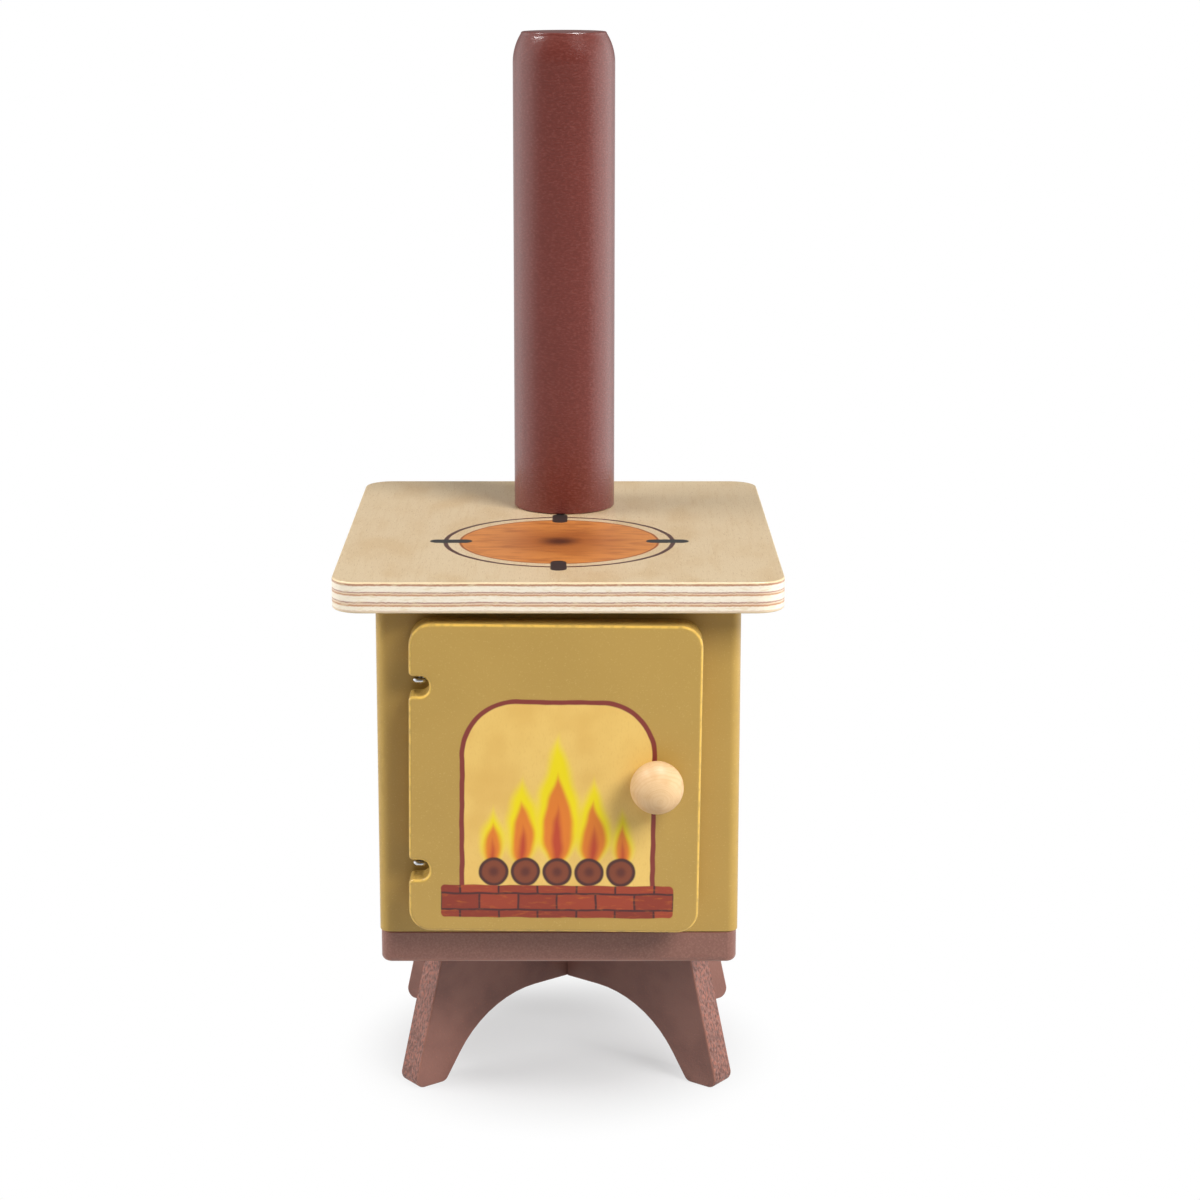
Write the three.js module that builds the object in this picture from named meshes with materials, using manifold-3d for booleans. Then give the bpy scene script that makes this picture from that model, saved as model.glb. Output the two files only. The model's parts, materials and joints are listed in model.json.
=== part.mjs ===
// Dollhouse wood stove: a painted plywood body on crossed legs, under a plywood hob plate
// with a turned flue pipe, and a door that swings on two pins.
// Millimetres, +Z up. The door faces -Y and its hinges are at -X.

import * as THREE from "three";
import { mergeVertices } from "three/addons/utils/BufferGeometryUtils.js";
import Module from "manifold-3d";

const wasm = await Module();
wasm.setup();

// Door
const DOOR_WIDTH = 78.5;
const DOOR_HEIGHT = 86;
const DOOR_THICKNESS = 8.5;
const DOOR_CORNER_RADIUS = 6;
const DOOR_EASE = 0.9;
const DOOR_GAP = 1; // between the shut door and the body
const DOOR_SAG = THREE.MathUtils.degToRad(0.57); // the lean that lets the door's free edge hang low
const NOTCH_HEIGHT = 5.5;
const NOTCH_DEPTH = 5.5;
const NOTCH_FROM_END = 17.3; // from the door's top or bottom to the middle of a notch
const NOTCH_LIP_RADIUS = 1.2;
const NOTCH_END_RADIUS = 2.5;

// Body, round the door
const DOOR_HINGE_MARGIN = 8.7; // from the foot of the door to the side of the body
const DOOR_FREE_MARGIN = 11.4;
const DOOR_RISE = 3.8; // from the plinth to the hinge end of the door
const DOOR_HEADROOM = 2.9; // from the hinge end of the door to the hob plate
const BODY_DEPTH = 117;
const BODY_EDGE_RADIUS = 3;
const PANEL_THICKNESS = 8.5;
const OPENING_SIDE_LAP = 7.8; // how far the door laps each side of the firebox opening
const OPENING_SILL_LAP = 7.5;
const OPENING_HEAD_LAP = 9.5;
const OPENING_CORNER_RADIUS = 4;

// Hob plate
const PLATE_SIDE_OVERHANG = 11.2;
const PLATE_END_OVERHANG = 10;
const PLATE_THICKNESS = 8.5;
const PLATE_CORNER_RADIUS = 8;
const PLATE_EASE = 0.5;

// Flue pipe
const PIPE_RADIUS = 14.9;
const PIPE_HEIGHT = 140;
const PIPE_FROM_BACK = 36; // from the plate's back edge to the pipe's axis
const PIPE_X = 1.2; // the pipe stands this far to the right of the plate's middle
const PIPE_SHOULDER_RADIUS = 16;
const PIPE_SHOULDER_HEIGHT = 9;
const PIPE_RIM_EASE = 0.6;
const PIPE_FOOT_EASE = 0.4;

// Plinth
const PLINTH_INSET = 0.3; // from the side of the body to the side of the plinth
const PLINTH_THICKNESS = 9.2;
const PLINTH_TOP_EASE = 0.6;
const PLINTH_BOTTOM_EASE = 1.8;

// Crossed leg boards
const LEG_HEIGHT = 46.5;
const LEG_THICKNESS = 8.25;
const LEG_TURN = THREE.MathUtils.degToRad(37.4); // from the X axis to each board
const LEG_X = 1.9; // the boards cross this far to the right of the plinth's middle
const LEG_TOP_REACH = 47; // from the middle of a board to its end, under the plinth
const LEG_SPLAY = 12.1; // how much further the board reaches at the floor
const LEG_EASE = 0.6;
const FOOT_LENGTH = 11;
const FOOT_TOE_RADIUS = 2.8;
const FOOT_HEEL_RADIUS = 2.5;
const ARCH_HEIGHT = 21.9;
const ARCH_LEAN = THREE.MathUtils.degToRad(55.8); // the arch's sides, from the floor
const ARCH_SHOULDER_RADIUS = 32.7;
const LAP_FORWARD = 1.35; // from the middle of a board to where the boards cross, towards the front
const LAP_FIT = 0.3; // between the two boards where they cross

// Hinges
const PIN_RADIUS = 0.55;
const PIN_SETBACK = 3; // from the door's hinge edge to the pins' axis
const PIN_GRIP = 9; // how far a pin goes into the wood above its notch
const PIN_TAIL = 0.5; // how far a pin stands out below its eye
const PIN_FIT = 0.25; // round a pin, in its eye and in the door
const EYE_WIRE_RADIUS = 0.65;
const EYE_GRIP = 7; // how far an eye's shank goes into the front frame
const EYE_RISE = 1; // from the middle of a notch to its eye
const EYE_FIT = 0.25;

// Knob
const KNOB_RADIUS = 7.15;
const KNOB_HALF_LENGTH = 6.6;
const KNOB_SEAT_RADIUS = 3.6;
const KNOB_SEAT_GAP = 0.3;
const KNOB_FROM_FREE_EDGE = 12;
const KNOB_RISE = 0.2; // above the middle of the door

// Screws
const SCREW_FIT = 0.3; // round every screw
const KNOB_SCREW_RADIUS = 1.5;
const KNOB_SCREW_HEAD_RADIUS = 3;
const KNOB_SCREW_GRIP = 7.5; // how far it goes into the knob
const FLUE_SCREW_RADIUS = 2;
const FLUE_SCREW_HEAD_RADIUS = 4;
const FLUE_SCREW_GRIP = 24; // how far it goes into the pipe
const LEG_SCREW_RADIUS = 1.75;
const LEG_SCREW_HEAD_RADIUS = 3.5;
const LEG_SCREW_GRIP = 15; // how far it goes into a leg board
const LEG_SCREW_REACH = 24; // from the crossing to a leg screw
const RECESS_DEPTH = 1.2; // of the cross in a screw's head
const RECESS_WIDTH = 0.8;

// Dowels
const DOWEL_RADIUS = 2.5;
const DOWEL_FIT = 0.25; // round every dowel and past its ends
const DOWEL_IN_FACE = 5; // how far a dowel goes into the face of a board
const DOWEL_IN_EDGE = 15; // how far it goes into the edge of a side panel
const UPRIGHT_DOWEL_INSET = 17; // from the front or back end of a side panel
const LEVEL_DOWEL_REACH = 14; // from the middle of a side panel, along its height

// Fineness of curved surfaces
const ARC_STEP = THREE.MathUtils.degToRad(10);
const EASE_STEPS = 3;
const PIPE_SIDES = 64;
const PIPE_SHOULDER_STEPS = 6;
const KNOB_SIDES = 40;
const KNOB_STEPS = 16;
const SMALL_SIDES = 16;
const RING_SIDES = 24;
const MERGE_DISTANCE = 1e-4;
const OVERSHOOT = 1; // how far a cutting tool stands out of the face that it opens

// Sizes and places that follow
const BODY_WIDTH = DOOR_HINGE_MARGIN + DOOR_WIDTH + DOOR_FREE_MARGIN;
const BODY_HEIGHT = DOOR_RISE + DOOR_HEIGHT + DOOR_HEADROOM;
const BODY_FRONT = -BODY_DEPTH / 2;
const SIDE_DEPTH = BODY_DEPTH - 2 * PANEL_THICKNESS;
const SIDE_X = (BODY_WIDTH - PANEL_THICKNESS) / 2;
const OPENING_WIDTH = DOOR_WIDTH - 2 * OPENING_SIDE_LAP;
const OPENING_HEIGHT = DOOR_HEIGHT - OPENING_SILL_LAP - OPENING_HEAD_LAP;
const OPENING_X = (DOOR_HINGE_MARGIN - DOOR_FREE_MARGIN) / 2;
const OPENING_MIDDLE = DOOR_RISE + OPENING_SILL_LAP + OPENING_HEIGHT / 2;
const PLATE_WIDTH = BODY_WIDTH + 2 * PLATE_SIDE_OVERHANG;
const PLATE_DEPTH = BODY_DEPTH + 2 * PLATE_END_OVERHANG;
const PIPE_Y = PLATE_DEPTH / 2 - PIPE_FROM_BACK;
const PLINTH_WIDTH = BODY_WIDTH - 2 * PLINTH_INSET;
const PLINTH_DEPTH = BODY_DEPTH - 2 * PLINTH_INSET;
const PLINTH_TOP = LEG_HEIGHT + PLINTH_THICKNESS;
const BODY_TOP = PLINTH_TOP + BODY_HEIGHT;
const PLATE_TOP = BODY_TOP + PLATE_THICKNESS;
const LEG_FOOT_REACH = LEG_TOP_REACH + LEG_SPLAY;
const ARCH_REACH = LEG_FOOT_REACH - FOOT_LENGTH;
const LAP_LEVEL = (ARCH_HEIGHT + LEG_HEIGHT) / 2;
const LEG_CROSSING = 2 * LEG_TURN;
const HINGE_X = DOOR_HINGE_MARGIN + PIN_SETBACK - BODY_WIDTH / 2;
const HINGE_Y = BODY_FRONT - DOOR_GAP - DOOR_THICKNESS / 2;
const NOTCH_LEVELS = { upper: DOOR_HEIGHT - NOTCH_FROM_END, lower: NOTCH_FROM_END };
const EYE_RING_RADIUS = PIN_RADIUS + PIN_FIT + EYE_WIRE_RADIUS;
const KNOB_X = DOOR_WIDTH - PIN_SETBACK - KNOB_FROM_FREE_EDGE;
const KNOB_LEVEL = DOOR_HEIGHT / 2 + KNOB_RISE;
const KNOB_CENTRE = KNOB_HALF_LENGTH * Math.sqrt(1 - (KNOB_SEAT_RADIUS / KNOB_RADIUS) ** 2);
const KNOB_SCREW_LENGTH = DOOR_THICKNESS + KNOB_SEAT_GAP + KNOB_SCREW_GRIP;
const FLUE_SCREW_LENGTH = PLATE_THICKNESS + FLUE_SCREW_GRIP;
const LEG_SCREW_LENGTH = PLINTH_THICKNESS + LEG_SCREW_GRIP;
const UPRIGHT_DOWEL_REACH = SIDE_DEPTH / 2 - UPRIGHT_DOWEL_INSET;

// Finishes
const BIRCH_PLYWOOD = new THREE.MeshStandardMaterial({ color: 0xd9bc8e, roughness: 0.6, metalness: 0 });
const OLIVE_PAINT = new THREE.MeshStandardMaterial({ color: 0xb89954, roughness: 0.45, metalness: 0 });
const RED_BROWN_PAINT = new THREE.MeshStandardMaterial({ color: 0x733d38, roughness: 0.4, metalness: 0 });
const BROWN_PAINT = new THREE.MeshStandardMaterial({ color: 0x8a6459, roughness: 0.5, metalness: 0 });
const BARE_BEECH = new THREE.MeshStandardMaterial({ color: 0xf3cf9b, roughness: 0.55, metalness: 0 });
const STEEL = new THREE.MeshStandardMaterial({ color: 0xb9bcc0, roughness: 0.3, metalness: 1 });

// Turns a closed geometry into a solid that can be joined and cut.
function solidOf(geometry) {
  const bare = geometry.clone();
  bare.deleteAttribute("normal");
  bare.deleteAttribute("uv");
  const merged = mergeVertices(bare, MERGE_DISTANCE);
  return new wasm.Manifold(
    new wasm.Mesh({
      numProp: 3,
      vertProperties: merged.getAttribute("position").array,
      triVerts: new Uint32Array(merged.index.array),
    }),
  );
}

function geometryOf(solid) {
  const mesh = solid.getMesh();
  const geometry = new THREE.BufferGeometry();
  geometry.setAttribute("position", new THREE.BufferAttribute(mesh.vertProperties, 3));
  geometry.setIndex(new THREE.BufferAttribute(mesh.triVerts, 1));
  geometry.computeVertexNormals();
  return geometry;
}

function cut(geometry, tools) {
  return geometryOf(tools.reduce((left, tool) => left.subtract(solidOf(tool)), solidOf(geometry)));
}

function join(geometry, other) {
  return geometryOf(solidOf(geometry).add(solidOf(other)));
}

// The points of an outline through corners given as [x, y, radius], each rounded by its radius.
function roundedOutline(corners) {
  return corners.flatMap(([x, y, radius], i) => {
    const corner = new THREE.Vector2(x, y);
    if (radius === 0) return [corner];
    const [beforeX, beforeY] = corners.at(i - 1);
    const [afterX, afterY] = corners[(i + 1) % corners.length];
    const back = new THREE.Vector2(beforeX, beforeY).sub(corner).normalize();
    const ahead = new THREE.Vector2(afterX, afterY).sub(corner).normalize();
    const half = Math.acos(back.dot(ahead)) / 2;
    const inward = back.clone().add(ahead).normalize();
    const centre = corner.clone().addScaledVector(inward, radius / Math.sin(half));
    const first = corner.clone().addScaledVector(back, radius / Math.tan(half)).sub(centre);
    const turn = (Math.PI - 2 * half) * Math.sign(ahead.cross(back));
    const steps = Math.max(2, Math.round(Math.abs(turn) / ARC_STEP));
    const origin = new THREE.Vector2();
    return Array.from({ length: steps + 1 }, (_, step) =>
      first.clone().rotateAround(origin, (turn * step) / steps).add(centre),
    );
  });
}

function roundedRectangle(width, depth, radius) {
  const x = width / 2;
  const y = depth / 2;
  return roundedOutline([
    [-x, -y, radius],
    [x, -y, radius],
    [x, y, radius],
    [-x, y, radius],
  ]);
}

// A board of the given outline with square edges, from z = 0 up.
function squareBoard(outline, thickness) {
  return new THREE.ExtrudeGeometry(new THREE.Shape(outline), { depth: thickness, bevelEnabled: false });
}

// The same board with the edges of both faces eased.
function easedBoard(outline, thickness, ease) {
  return new THREE.ExtrudeGeometry(new THREE.Shape(outline), {
    depth: thickness - 2 * ease,
    bevelThickness: ease,
    bevelSize: ease,
    bevelOffset: -ease,
    bevelSegments: EASE_STEPS,
  }).translate(0, 0, ease);
}

// Stands a board up, so that its outline lies in the XZ plane and its middle at y = 0.
function upright(board, thickness) {
  return board.rotateX(Math.PI / 2).translate(0, thickness / 2, 0);
}

// A closed skin over rings of points that go round the same way, with a flat cap at each end.
function skinOver(rings) {
  const count = rings[0].length;
  const positions = rings.flat().flatMap((point) => point.toArray());
  const faces = [];
  for (let level = 0; level + 1 < rings.length; level += 1) {
    for (let i = 0; i < count; i += 1) {
      const a = level * count + i;
      const b = level * count + ((i + 1) % count);
      faces.push(a, b, b + count, a, b + count, a + count);
    }
  }
  const last = (rings.length - 1) * count;
  for (let i = 1; i + 1 < count; i += 1) {
    faces.push(0, i + 1, i, last, last + i, last + i + 1);
  }
  const geometry = new THREE.BufferGeometry();
  geometry.setAttribute("position", new THREE.Float32BufferAttribute(positions, 3));
  geometry.setIndex(faces);
  return geometry;
}

// A slab with rounded plan corners, whose top and bottom edges have radii of their own.
function easedSlab({ width, depth, thickness, corner, topEase, bottomEase }) {
  const turns = Array.from({ length: EASE_STEPS + 1 }, (_, step) => (step * Math.PI) / (2 * EASE_STEPS));
  const bottom = turns.map((turn) => [bottomEase * (1 - Math.sin(turn)), bottomEase * (1 - Math.cos(turn))]);
  const top = turns
    .map((turn) => [topEase * (1 - Math.sin(turn)), thickness - topEase * (1 - Math.cos(turn))])
    .reverse();
  return skinOver(
    [...bottom, ...top].map(([inset, z]) =>
      roundedRectangle(width - 2 * inset, depth - 2 * inset, corner - inset).map(
        (point) => new THREE.Vector3(point.x, point.y, z),
      ),
    ),
  );
}

// A turned shape about the Z axis, from profile points [radius, z] that start and end on the axis.
function turned(profile, sides) {
  const points = profile.map(([radius, z]) => new THREE.Vector2(radius, z));
  return new THREE.LatheGeometry(points, sides).rotateX(Math.PI / 2);
}

// A round bar along Z from z = low to z = high.
function roundBar(radius, low, high) {
  return turned(
    [
      [0, low],
      [radius, low],
      [radius, high],
      [0, high],
    ],
    SMALL_SIDES,
  );
}

// A countersunk wood screw along -Z, with the face of its head at z = 0 and a cross in it.
function screw(radius, headRadius, length) {
  const blank = turned(
    [
      [0, -length],
      [radius, -length + 2 * radius],
      [radius, radius - headRadius],
      [headRadius, 0],
      [0, 0],
    ],
    SMALL_SIDES,
  );
  const across = new THREE.BoxGeometry(headRadius, RECESS_WIDTH, 2 * RECESS_DEPTH);
  const along = new THREE.BoxGeometry(RECESS_WIDTH, headRadius, 2 * RECESS_DEPTH);
  return cut(blank, [across, along]);
}

// The hole that such a screw sits in.
function screwHole(radius, headRadius, length) {
  return turned(
    [
      [0, -length - SCREW_FIT],
      [radius + SCREW_FIT, -length - SCREW_FIT],
      [radius + SCREW_FIT, radius - headRadius],
      [headRadius + SCREW_FIT, 0],
      [headRadius + SCREW_FIT, OVERSHOOT],
      [0, OVERSHOOT],
    ],
    SMALL_SIDES,
  );
}

// A dowel along Z that crosses the joint at z = 0: down into a board's edge, up into a board's face.
function dowel() {
  return roundBar(DOWEL_RADIUS, -DOWEL_IN_EDGE, DOWEL_IN_FACE);
}

function dowelHole() {
  return roundBar(DOWEL_RADIUS + DOWEL_FIT, -DOWEL_IN_EDGE - DOWEL_FIT, DOWEL_IN_FACE + DOWEL_FIT);
}

// The places where dowels join the side panels to the boards above and below them.
const UPRIGHT_DOWEL_PLACES = [-1, 1].flatMap((side) =>
  [-1, 1].map((end) => [side * SIDE_X, end * UPRIGHT_DOWEL_REACH]),
);

// The heights of the dowels that join the side panels to the front frame and the back panel.
const LEVEL_DOWEL_HEIGHTS = [-1, 1].map((end) => BODY_HEIGHT / 2 + end * LEVEL_DOWEL_REACH);

// The places of the leg screws: two in each board, at equal distances from the crossing.
const LEG_SCREW_PLACES = [LEG_TURN, -LEG_TURN].flatMap((turn) =>
  [-LEG_SCREW_REACH, LEG_SCREW_REACH].map((reach) => [
    LEG_X + reach * Math.cos(turn),
    reach * Math.sin(turn),
  ]),
);

// The point at a height up the hinge line, which leans by the door's sag.
function hingePoint(height) {
  return [HINGE_X + height * Math.sin(DOOR_SAG), HINGE_Y, DOOR_RISE + height * Math.cos(DOOR_SAG)];
}

// The hob plate, with its underside at z = 0.
function topPlate() {
  const slab = easedSlab({
    width: PLATE_WIDTH,
    depth: PLATE_DEPTH,
    thickness: PLATE_THICKNESS,
    corner: PLATE_CORNER_RADIUS,
    topEase: PLATE_EASE,
    bottomEase: PLATE_EASE,
  });
  const dowelHoles = UPRIGHT_DOWEL_PLACES.map(([x, y]) => dowelHole().translate(x, y, 0));
  const flueScrewHole = screwHole(FLUE_SCREW_RADIUS, FLUE_SCREW_HEAD_RADIUS, FLUE_SCREW_LENGTH)
    .rotateX(Math.PI)
    .translate(PIPE_X, PIPE_Y, 0);
  return cut(slab, [...dowelHoles, flueScrewHole]);
}

// The flue pipe, standing on z = 0. Its shoulder is an arc that meets the side at a tangent.
function fluePipe() {
  const shoulderFoot = PIPE_HEIGHT - PIPE_SHOULDER_HEIGHT;
  const arc = Math.asin((PIPE_SHOULDER_HEIGHT - PIPE_RIM_EASE) / PIPE_SHOULDER_RADIUS);
  const shoulder = Array.from({ length: PIPE_SHOULDER_STEPS + 1 }, (_, step) => {
    const turn = (arc * step) / PIPE_SHOULDER_STEPS;
    return [
      PIPE_RADIUS - PIPE_SHOULDER_RADIUS * (1 - Math.cos(turn)),
      shoulderFoot + PIPE_SHOULDER_RADIUS * Math.sin(turn),
    ];
  });
  const rimRadius = shoulder.at(-1)[0] - PIPE_RIM_EASE;
  const blank = turned(
    [
      [0, 0],
      [PIPE_RADIUS - PIPE_FOOT_EASE, 0],
      [PIPE_RADIUS, PIPE_FOOT_EASE],
      ...shoulder,
      [rimRadius, PIPE_HEIGHT],
      [0, PIPE_HEIGHT],
    ],
    PIPE_SIDES,
  );
  return cut(blank, [roundBar(FLUE_SCREW_RADIUS + SCREW_FIT, -OVERSHOOT, FLUE_SCREW_GRIP + SCREW_FIT)]);
}

// A panel as wide as the body, with its outer face at y = 0, its inner face at +Y and its foot at z = 0.
function endPanel() {
  const x = BODY_WIDTH / 2;
  const outline = roundedOutline([
    [-x, 0, BODY_EDGE_RADIUS],
    [x, 0, BODY_EDGE_RADIUS],
    [x, PANEL_THICKNESS, 0],
    [-x, PANEL_THICKNESS, 0],
  ]);
  const holes = LEVEL_DOWEL_HEIGHTS.flatMap((height) =>
    [-SIDE_X, SIDE_X].map((side) =>
      dowelHole().rotateX(Math.PI / 2).translate(side, PANEL_THICKNESS, height),
    ),
  );
  return cut(squareBoard(outline, BODY_HEIGHT), holes);
}

// The front panel, with the firebox opening and the holes for the hinge eyes.
function frontFrame() {
  const opening = upright(
    squareBoard(
      roundedRectangle(OPENING_WIDTH, OPENING_HEIGHT, OPENING_CORNER_RADIUS),
      PANEL_THICKNESS + 2 * OVERSHOOT,
    ),
    PANEL_THICKNESS,
  ).translate(OPENING_X, PANEL_THICKNESS / 2 + OVERSHOOT, OPENING_MIDDLE);
  const eyeHoles = Object.values(NOTCH_LEVELS).map((level) => {
    const [x, , z] = hingePoint(level + EYE_RISE);
    return roundBar(EYE_WIRE_RADIUS + EYE_FIT, -OVERSHOOT, EYE_GRIP + EYE_FIT)
      .rotateX(-Math.PI / 2)
      .translate(x, 0, z);
  });
  return cut(endPanel(), [opening, ...eyeHoles]);
}

// A side panel, with its foot at z = 0 and its middle on the Z axis.
function sidePanel() {
  const blank = new THREE.BoxGeometry(PANEL_THICKNESS, SIDE_DEPTH, BODY_HEIGHT);
  blank.translate(0, 0, BODY_HEIGHT / 2);
  const uprightHoles = [-1, 1].flatMap((end) => [
    dowelHole().translate(0, end * UPRIGHT_DOWEL_REACH, BODY_HEIGHT),
    dowelHole().rotateX(Math.PI).translate(0, end * UPRIGHT_DOWEL_REACH, 0),
  ]);
  const levelHoles = LEVEL_DOWEL_HEIGHTS.flatMap((height) => [
    dowelHole().rotateX(Math.PI / 2).translate(0, -SIDE_DEPTH / 2, height),
    dowelHole().rotateX(-Math.PI / 2).translate(0, SIDE_DEPTH / 2, height),
  ]);
  return cut(blank, [...uprightHoles, ...levelHoles]);
}

// The board under the body, with its underside at z = 0.
function plinthBoard() {
  const slab = easedSlab({
    width: PLINTH_WIDTH,
    depth: PLINTH_DEPTH,
    thickness: PLINTH_THICKNESS,
    corner: BODY_EDGE_RADIUS,
    topEase: PLINTH_TOP_EASE,
    bottomEase: PLINTH_BOTTOM_EASE,
  });
  const dowelHoles = UPRIGHT_DOWEL_PLACES.map(([x, y]) =>
    dowelHole().rotateX(Math.PI).translate(x, y, PLINTH_THICKNESS),
  );
  const screwHoles = LEG_SCREW_PLACES.map(([x, y]) =>
    screwHole(LEG_SCREW_RADIUS, LEG_SCREW_HEAD_RADIUS, LEG_SCREW_LENGTH).translate(x, y, PLINTH_THICKNESS),
  );
  return cut(slab, [...dowelHoles, ...screwHoles]);
}

// A leg board along X, with its front end at -X and the crossing on the Z axis. Its slot runs from
// slotLow to slotHigh and takes a board that lies at the angle crossing.
function legBoard(crossing, slotLow, slotHigh) {
  const shoulder = ARCH_REACH - ARCH_HEIGHT / Math.tan(ARCH_LEAN);
  const blank = upright(
    easedBoard(
      roundedOutline([
        [-LEG_FOOT_REACH, 0, FOOT_TOE_RADIUS],
        [-ARCH_REACH, 0, FOOT_HEEL_RADIUS],
        [-shoulder, ARCH_HEIGHT, ARCH_SHOULDER_RADIUS],
        [shoulder, ARCH_HEIGHT, ARCH_SHOULDER_RADIUS],
        [ARCH_REACH, 0, FOOT_HEEL_RADIUS],
        [LEG_FOOT_REACH, 0, FOOT_TOE_RADIUS],
        [LEG_TOP_REACH, LEG_HEIGHT, 0],
        [-LEG_TOP_REACH, LEG_HEIGHT, 0],
      ]),
      LEG_THICKNESS,
      LEG_EASE,
    ),
    LEG_THICKNESS,
  ).translate(LAP_FORWARD, 0, 0);
  const slot = new THREE.BoxGeometry(2 * LEG_TOP_REACH, LEG_THICKNESS + 2 * LAP_FIT, slotHigh - slotLow)
    .rotateZ(crossing)
    .translate(0, 0, (slotLow + slotHigh) / 2);
  const screwHoles = [-LEG_SCREW_REACH, LEG_SCREW_REACH].map((x) =>
    roundBar(LEG_SCREW_RADIUS + SCREW_FIT, -LEG_SCREW_GRIP - SCREW_FIT, OVERSHOOT)
      .translate(x, 0, LEG_HEIGHT),
  );
  return cut(blank, [slot, ...screwHoles]);
}

// The door, in its hinge's frame: the pins' axis is Z, the front faces -Y and the foot is at z = 0.
function doorPanel() {
  const hingeEdge = -PIN_SETBACK;
  const freeEdge = DOOR_WIDTH - PIN_SETBACK;
  const notches = Object.values(NOTCH_LEVELS).flatMap((level) => [
    [hingeEdge, level + NOTCH_HEIGHT / 2, NOTCH_LIP_RADIUS],
    [hingeEdge + NOTCH_DEPTH, level + NOTCH_HEIGHT / 2, NOTCH_END_RADIUS],
    [hingeEdge + NOTCH_DEPTH, level - NOTCH_HEIGHT / 2, NOTCH_END_RADIUS],
    [hingeEdge, level - NOTCH_HEIGHT / 2, NOTCH_LIP_RADIUS],
  ]);
  const outline = roundedOutline([
    [hingeEdge, 0, DOOR_CORNER_RADIUS],
    [freeEdge, 0, DOOR_CORNER_RADIUS],
    [freeEdge, DOOR_HEIGHT, DOOR_CORNER_RADIUS],
    [hingeEdge, DOOR_HEIGHT, DOOR_CORNER_RADIUS],
    ...notches,
  ]);
  const blank = upright(easedBoard(outline, DOOR_THICKNESS, DOOR_EASE), DOOR_THICKNESS);
  const reach = NOTCH_HEIGHT / 2 + PIN_GRIP + PIN_FIT;
  const pinHoles = Object.values(NOTCH_LEVELS).map((level) =>
    roundBar(PIN_RADIUS + PIN_FIT, level, level + reach),
  );
  const knobScrewHole = screwHole(KNOB_SCREW_RADIUS, KNOB_SCREW_HEAD_RADIUS, KNOB_SCREW_LENGTH)
    .rotateX(-Math.PI / 2)
    .translate(KNOB_X, DOOR_THICKNESS / 2, KNOB_LEVEL);
  return cut(blank, [...pinHoles, knobScrewHole]);
}

// The ball knob along Z, with its flat seat at z = 0.
function doorKnob() {
  const seatTurn = -Math.acos(KNOB_SEAT_RADIUS / KNOB_RADIUS);
  const ball = Array.from({ length: KNOB_STEPS }, (_, step) => {
    const turn = seatTurn + ((Math.PI / 2 - seatTurn) * step) / KNOB_STEPS;
    return [KNOB_RADIUS * Math.cos(turn), KNOB_CENTRE + KNOB_HALF_LENGTH * Math.sin(turn)];
  });
  const blank = turned([[0, 0], ...ball, [0, KNOB_CENTRE + KNOB_HALF_LENGTH]], KNOB_SIDES);
  return cut(blank, [roundBar(KNOB_SCREW_RADIUS + SCREW_FIT, -OVERSHOOT, KNOB_SCREW_GRIP + SCREW_FIT)]);
}

// A screw eye: a ring round the Z axis with a shank along +Y into the front frame.
function hingeEye() {
  const ring = new THREE.TorusGeometry(EYE_RING_RADIUS, EYE_WIRE_RADIUS, SMALL_SIDES / 2, RING_SIDES);
  const shankEnd = BODY_FRONT - HINGE_Y + EYE_GRIP;
  const shank = roundBar(EYE_WIRE_RADIUS, EYE_RING_RADIUS, shankEnd).rotateX(-Math.PI / 2);
  return join(ring, shank);
}

// A pin that hangs down from the door through an eye, with the middle of its notch at z = 0.
function hingePin() {
  const foot = EYE_RISE - EYE_WIRE_RADIUS - PIN_TAIL;
  return roundBar(PIN_RADIUS, foot, NOTCH_HEIGHT / 2 + PIN_GRIP);
}

// Adds a named piece to a group, at a place and turned about the X and Z axes.
function place(group, name, geometry, finish, [x, y, z], turnX = 0, turnZ = 0) {
  const mesh = new THREE.Mesh(geometry, finish);
  mesh.name = name;
  mesh.position.set(x, y, z);
  mesh.rotation.set(turnX, 0, turnZ);
  group.add(mesh);
}

const stove = new THREE.Group();
place(stove, "top_plate", topPlate(), BIRCH_PLYWOOD, [0, 0, BODY_TOP]);
place(stove, "flue_pipe", fluePipe(), RED_BROWN_PAINT, [PIPE_X, PIPE_Y, PLATE_TOP]);
place(stove, "front_frame", frontFrame(), OLIVE_PAINT, [0, BODY_FRONT, PLINTH_TOP]);
place(stove, "back_panel", endPanel(), OLIVE_PAINT, [0, -BODY_FRONT, PLINTH_TOP], 0, Math.PI);
place(stove, "left_side_panel", sidePanel(), OLIVE_PAINT, [-SIDE_X, 0, PLINTH_TOP]);
place(stove, "right_side_panel", sidePanel(), OLIVE_PAINT, [SIDE_X, 0, PLINTH_TOP]);
place(stove, "plinth_board", plinthBoard(), BROWN_PAINT, [0, 0, LEG_HEIGHT]);

// One leg board is slotted from above, the other from below.
const upperSlot = legBoard(-LEG_CROSSING, LAP_LEVEL - LAP_FIT / 2, LEG_HEIGHT + OVERSHOOT);
const lowerSlot = legBoard(LEG_CROSSING, -OVERSHOOT, LAP_LEVEL + LAP_FIT / 2);
place(stove, "leg_board_a", upperSlot, BROWN_PAINT, [LEG_X, 0, 0], 0, LEG_TURN);
place(stove, "leg_board_b", lowerSlot, BROWN_PAINT, [LEG_X, 0, 0], 0, Math.PI - LEG_TURN);

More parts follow.
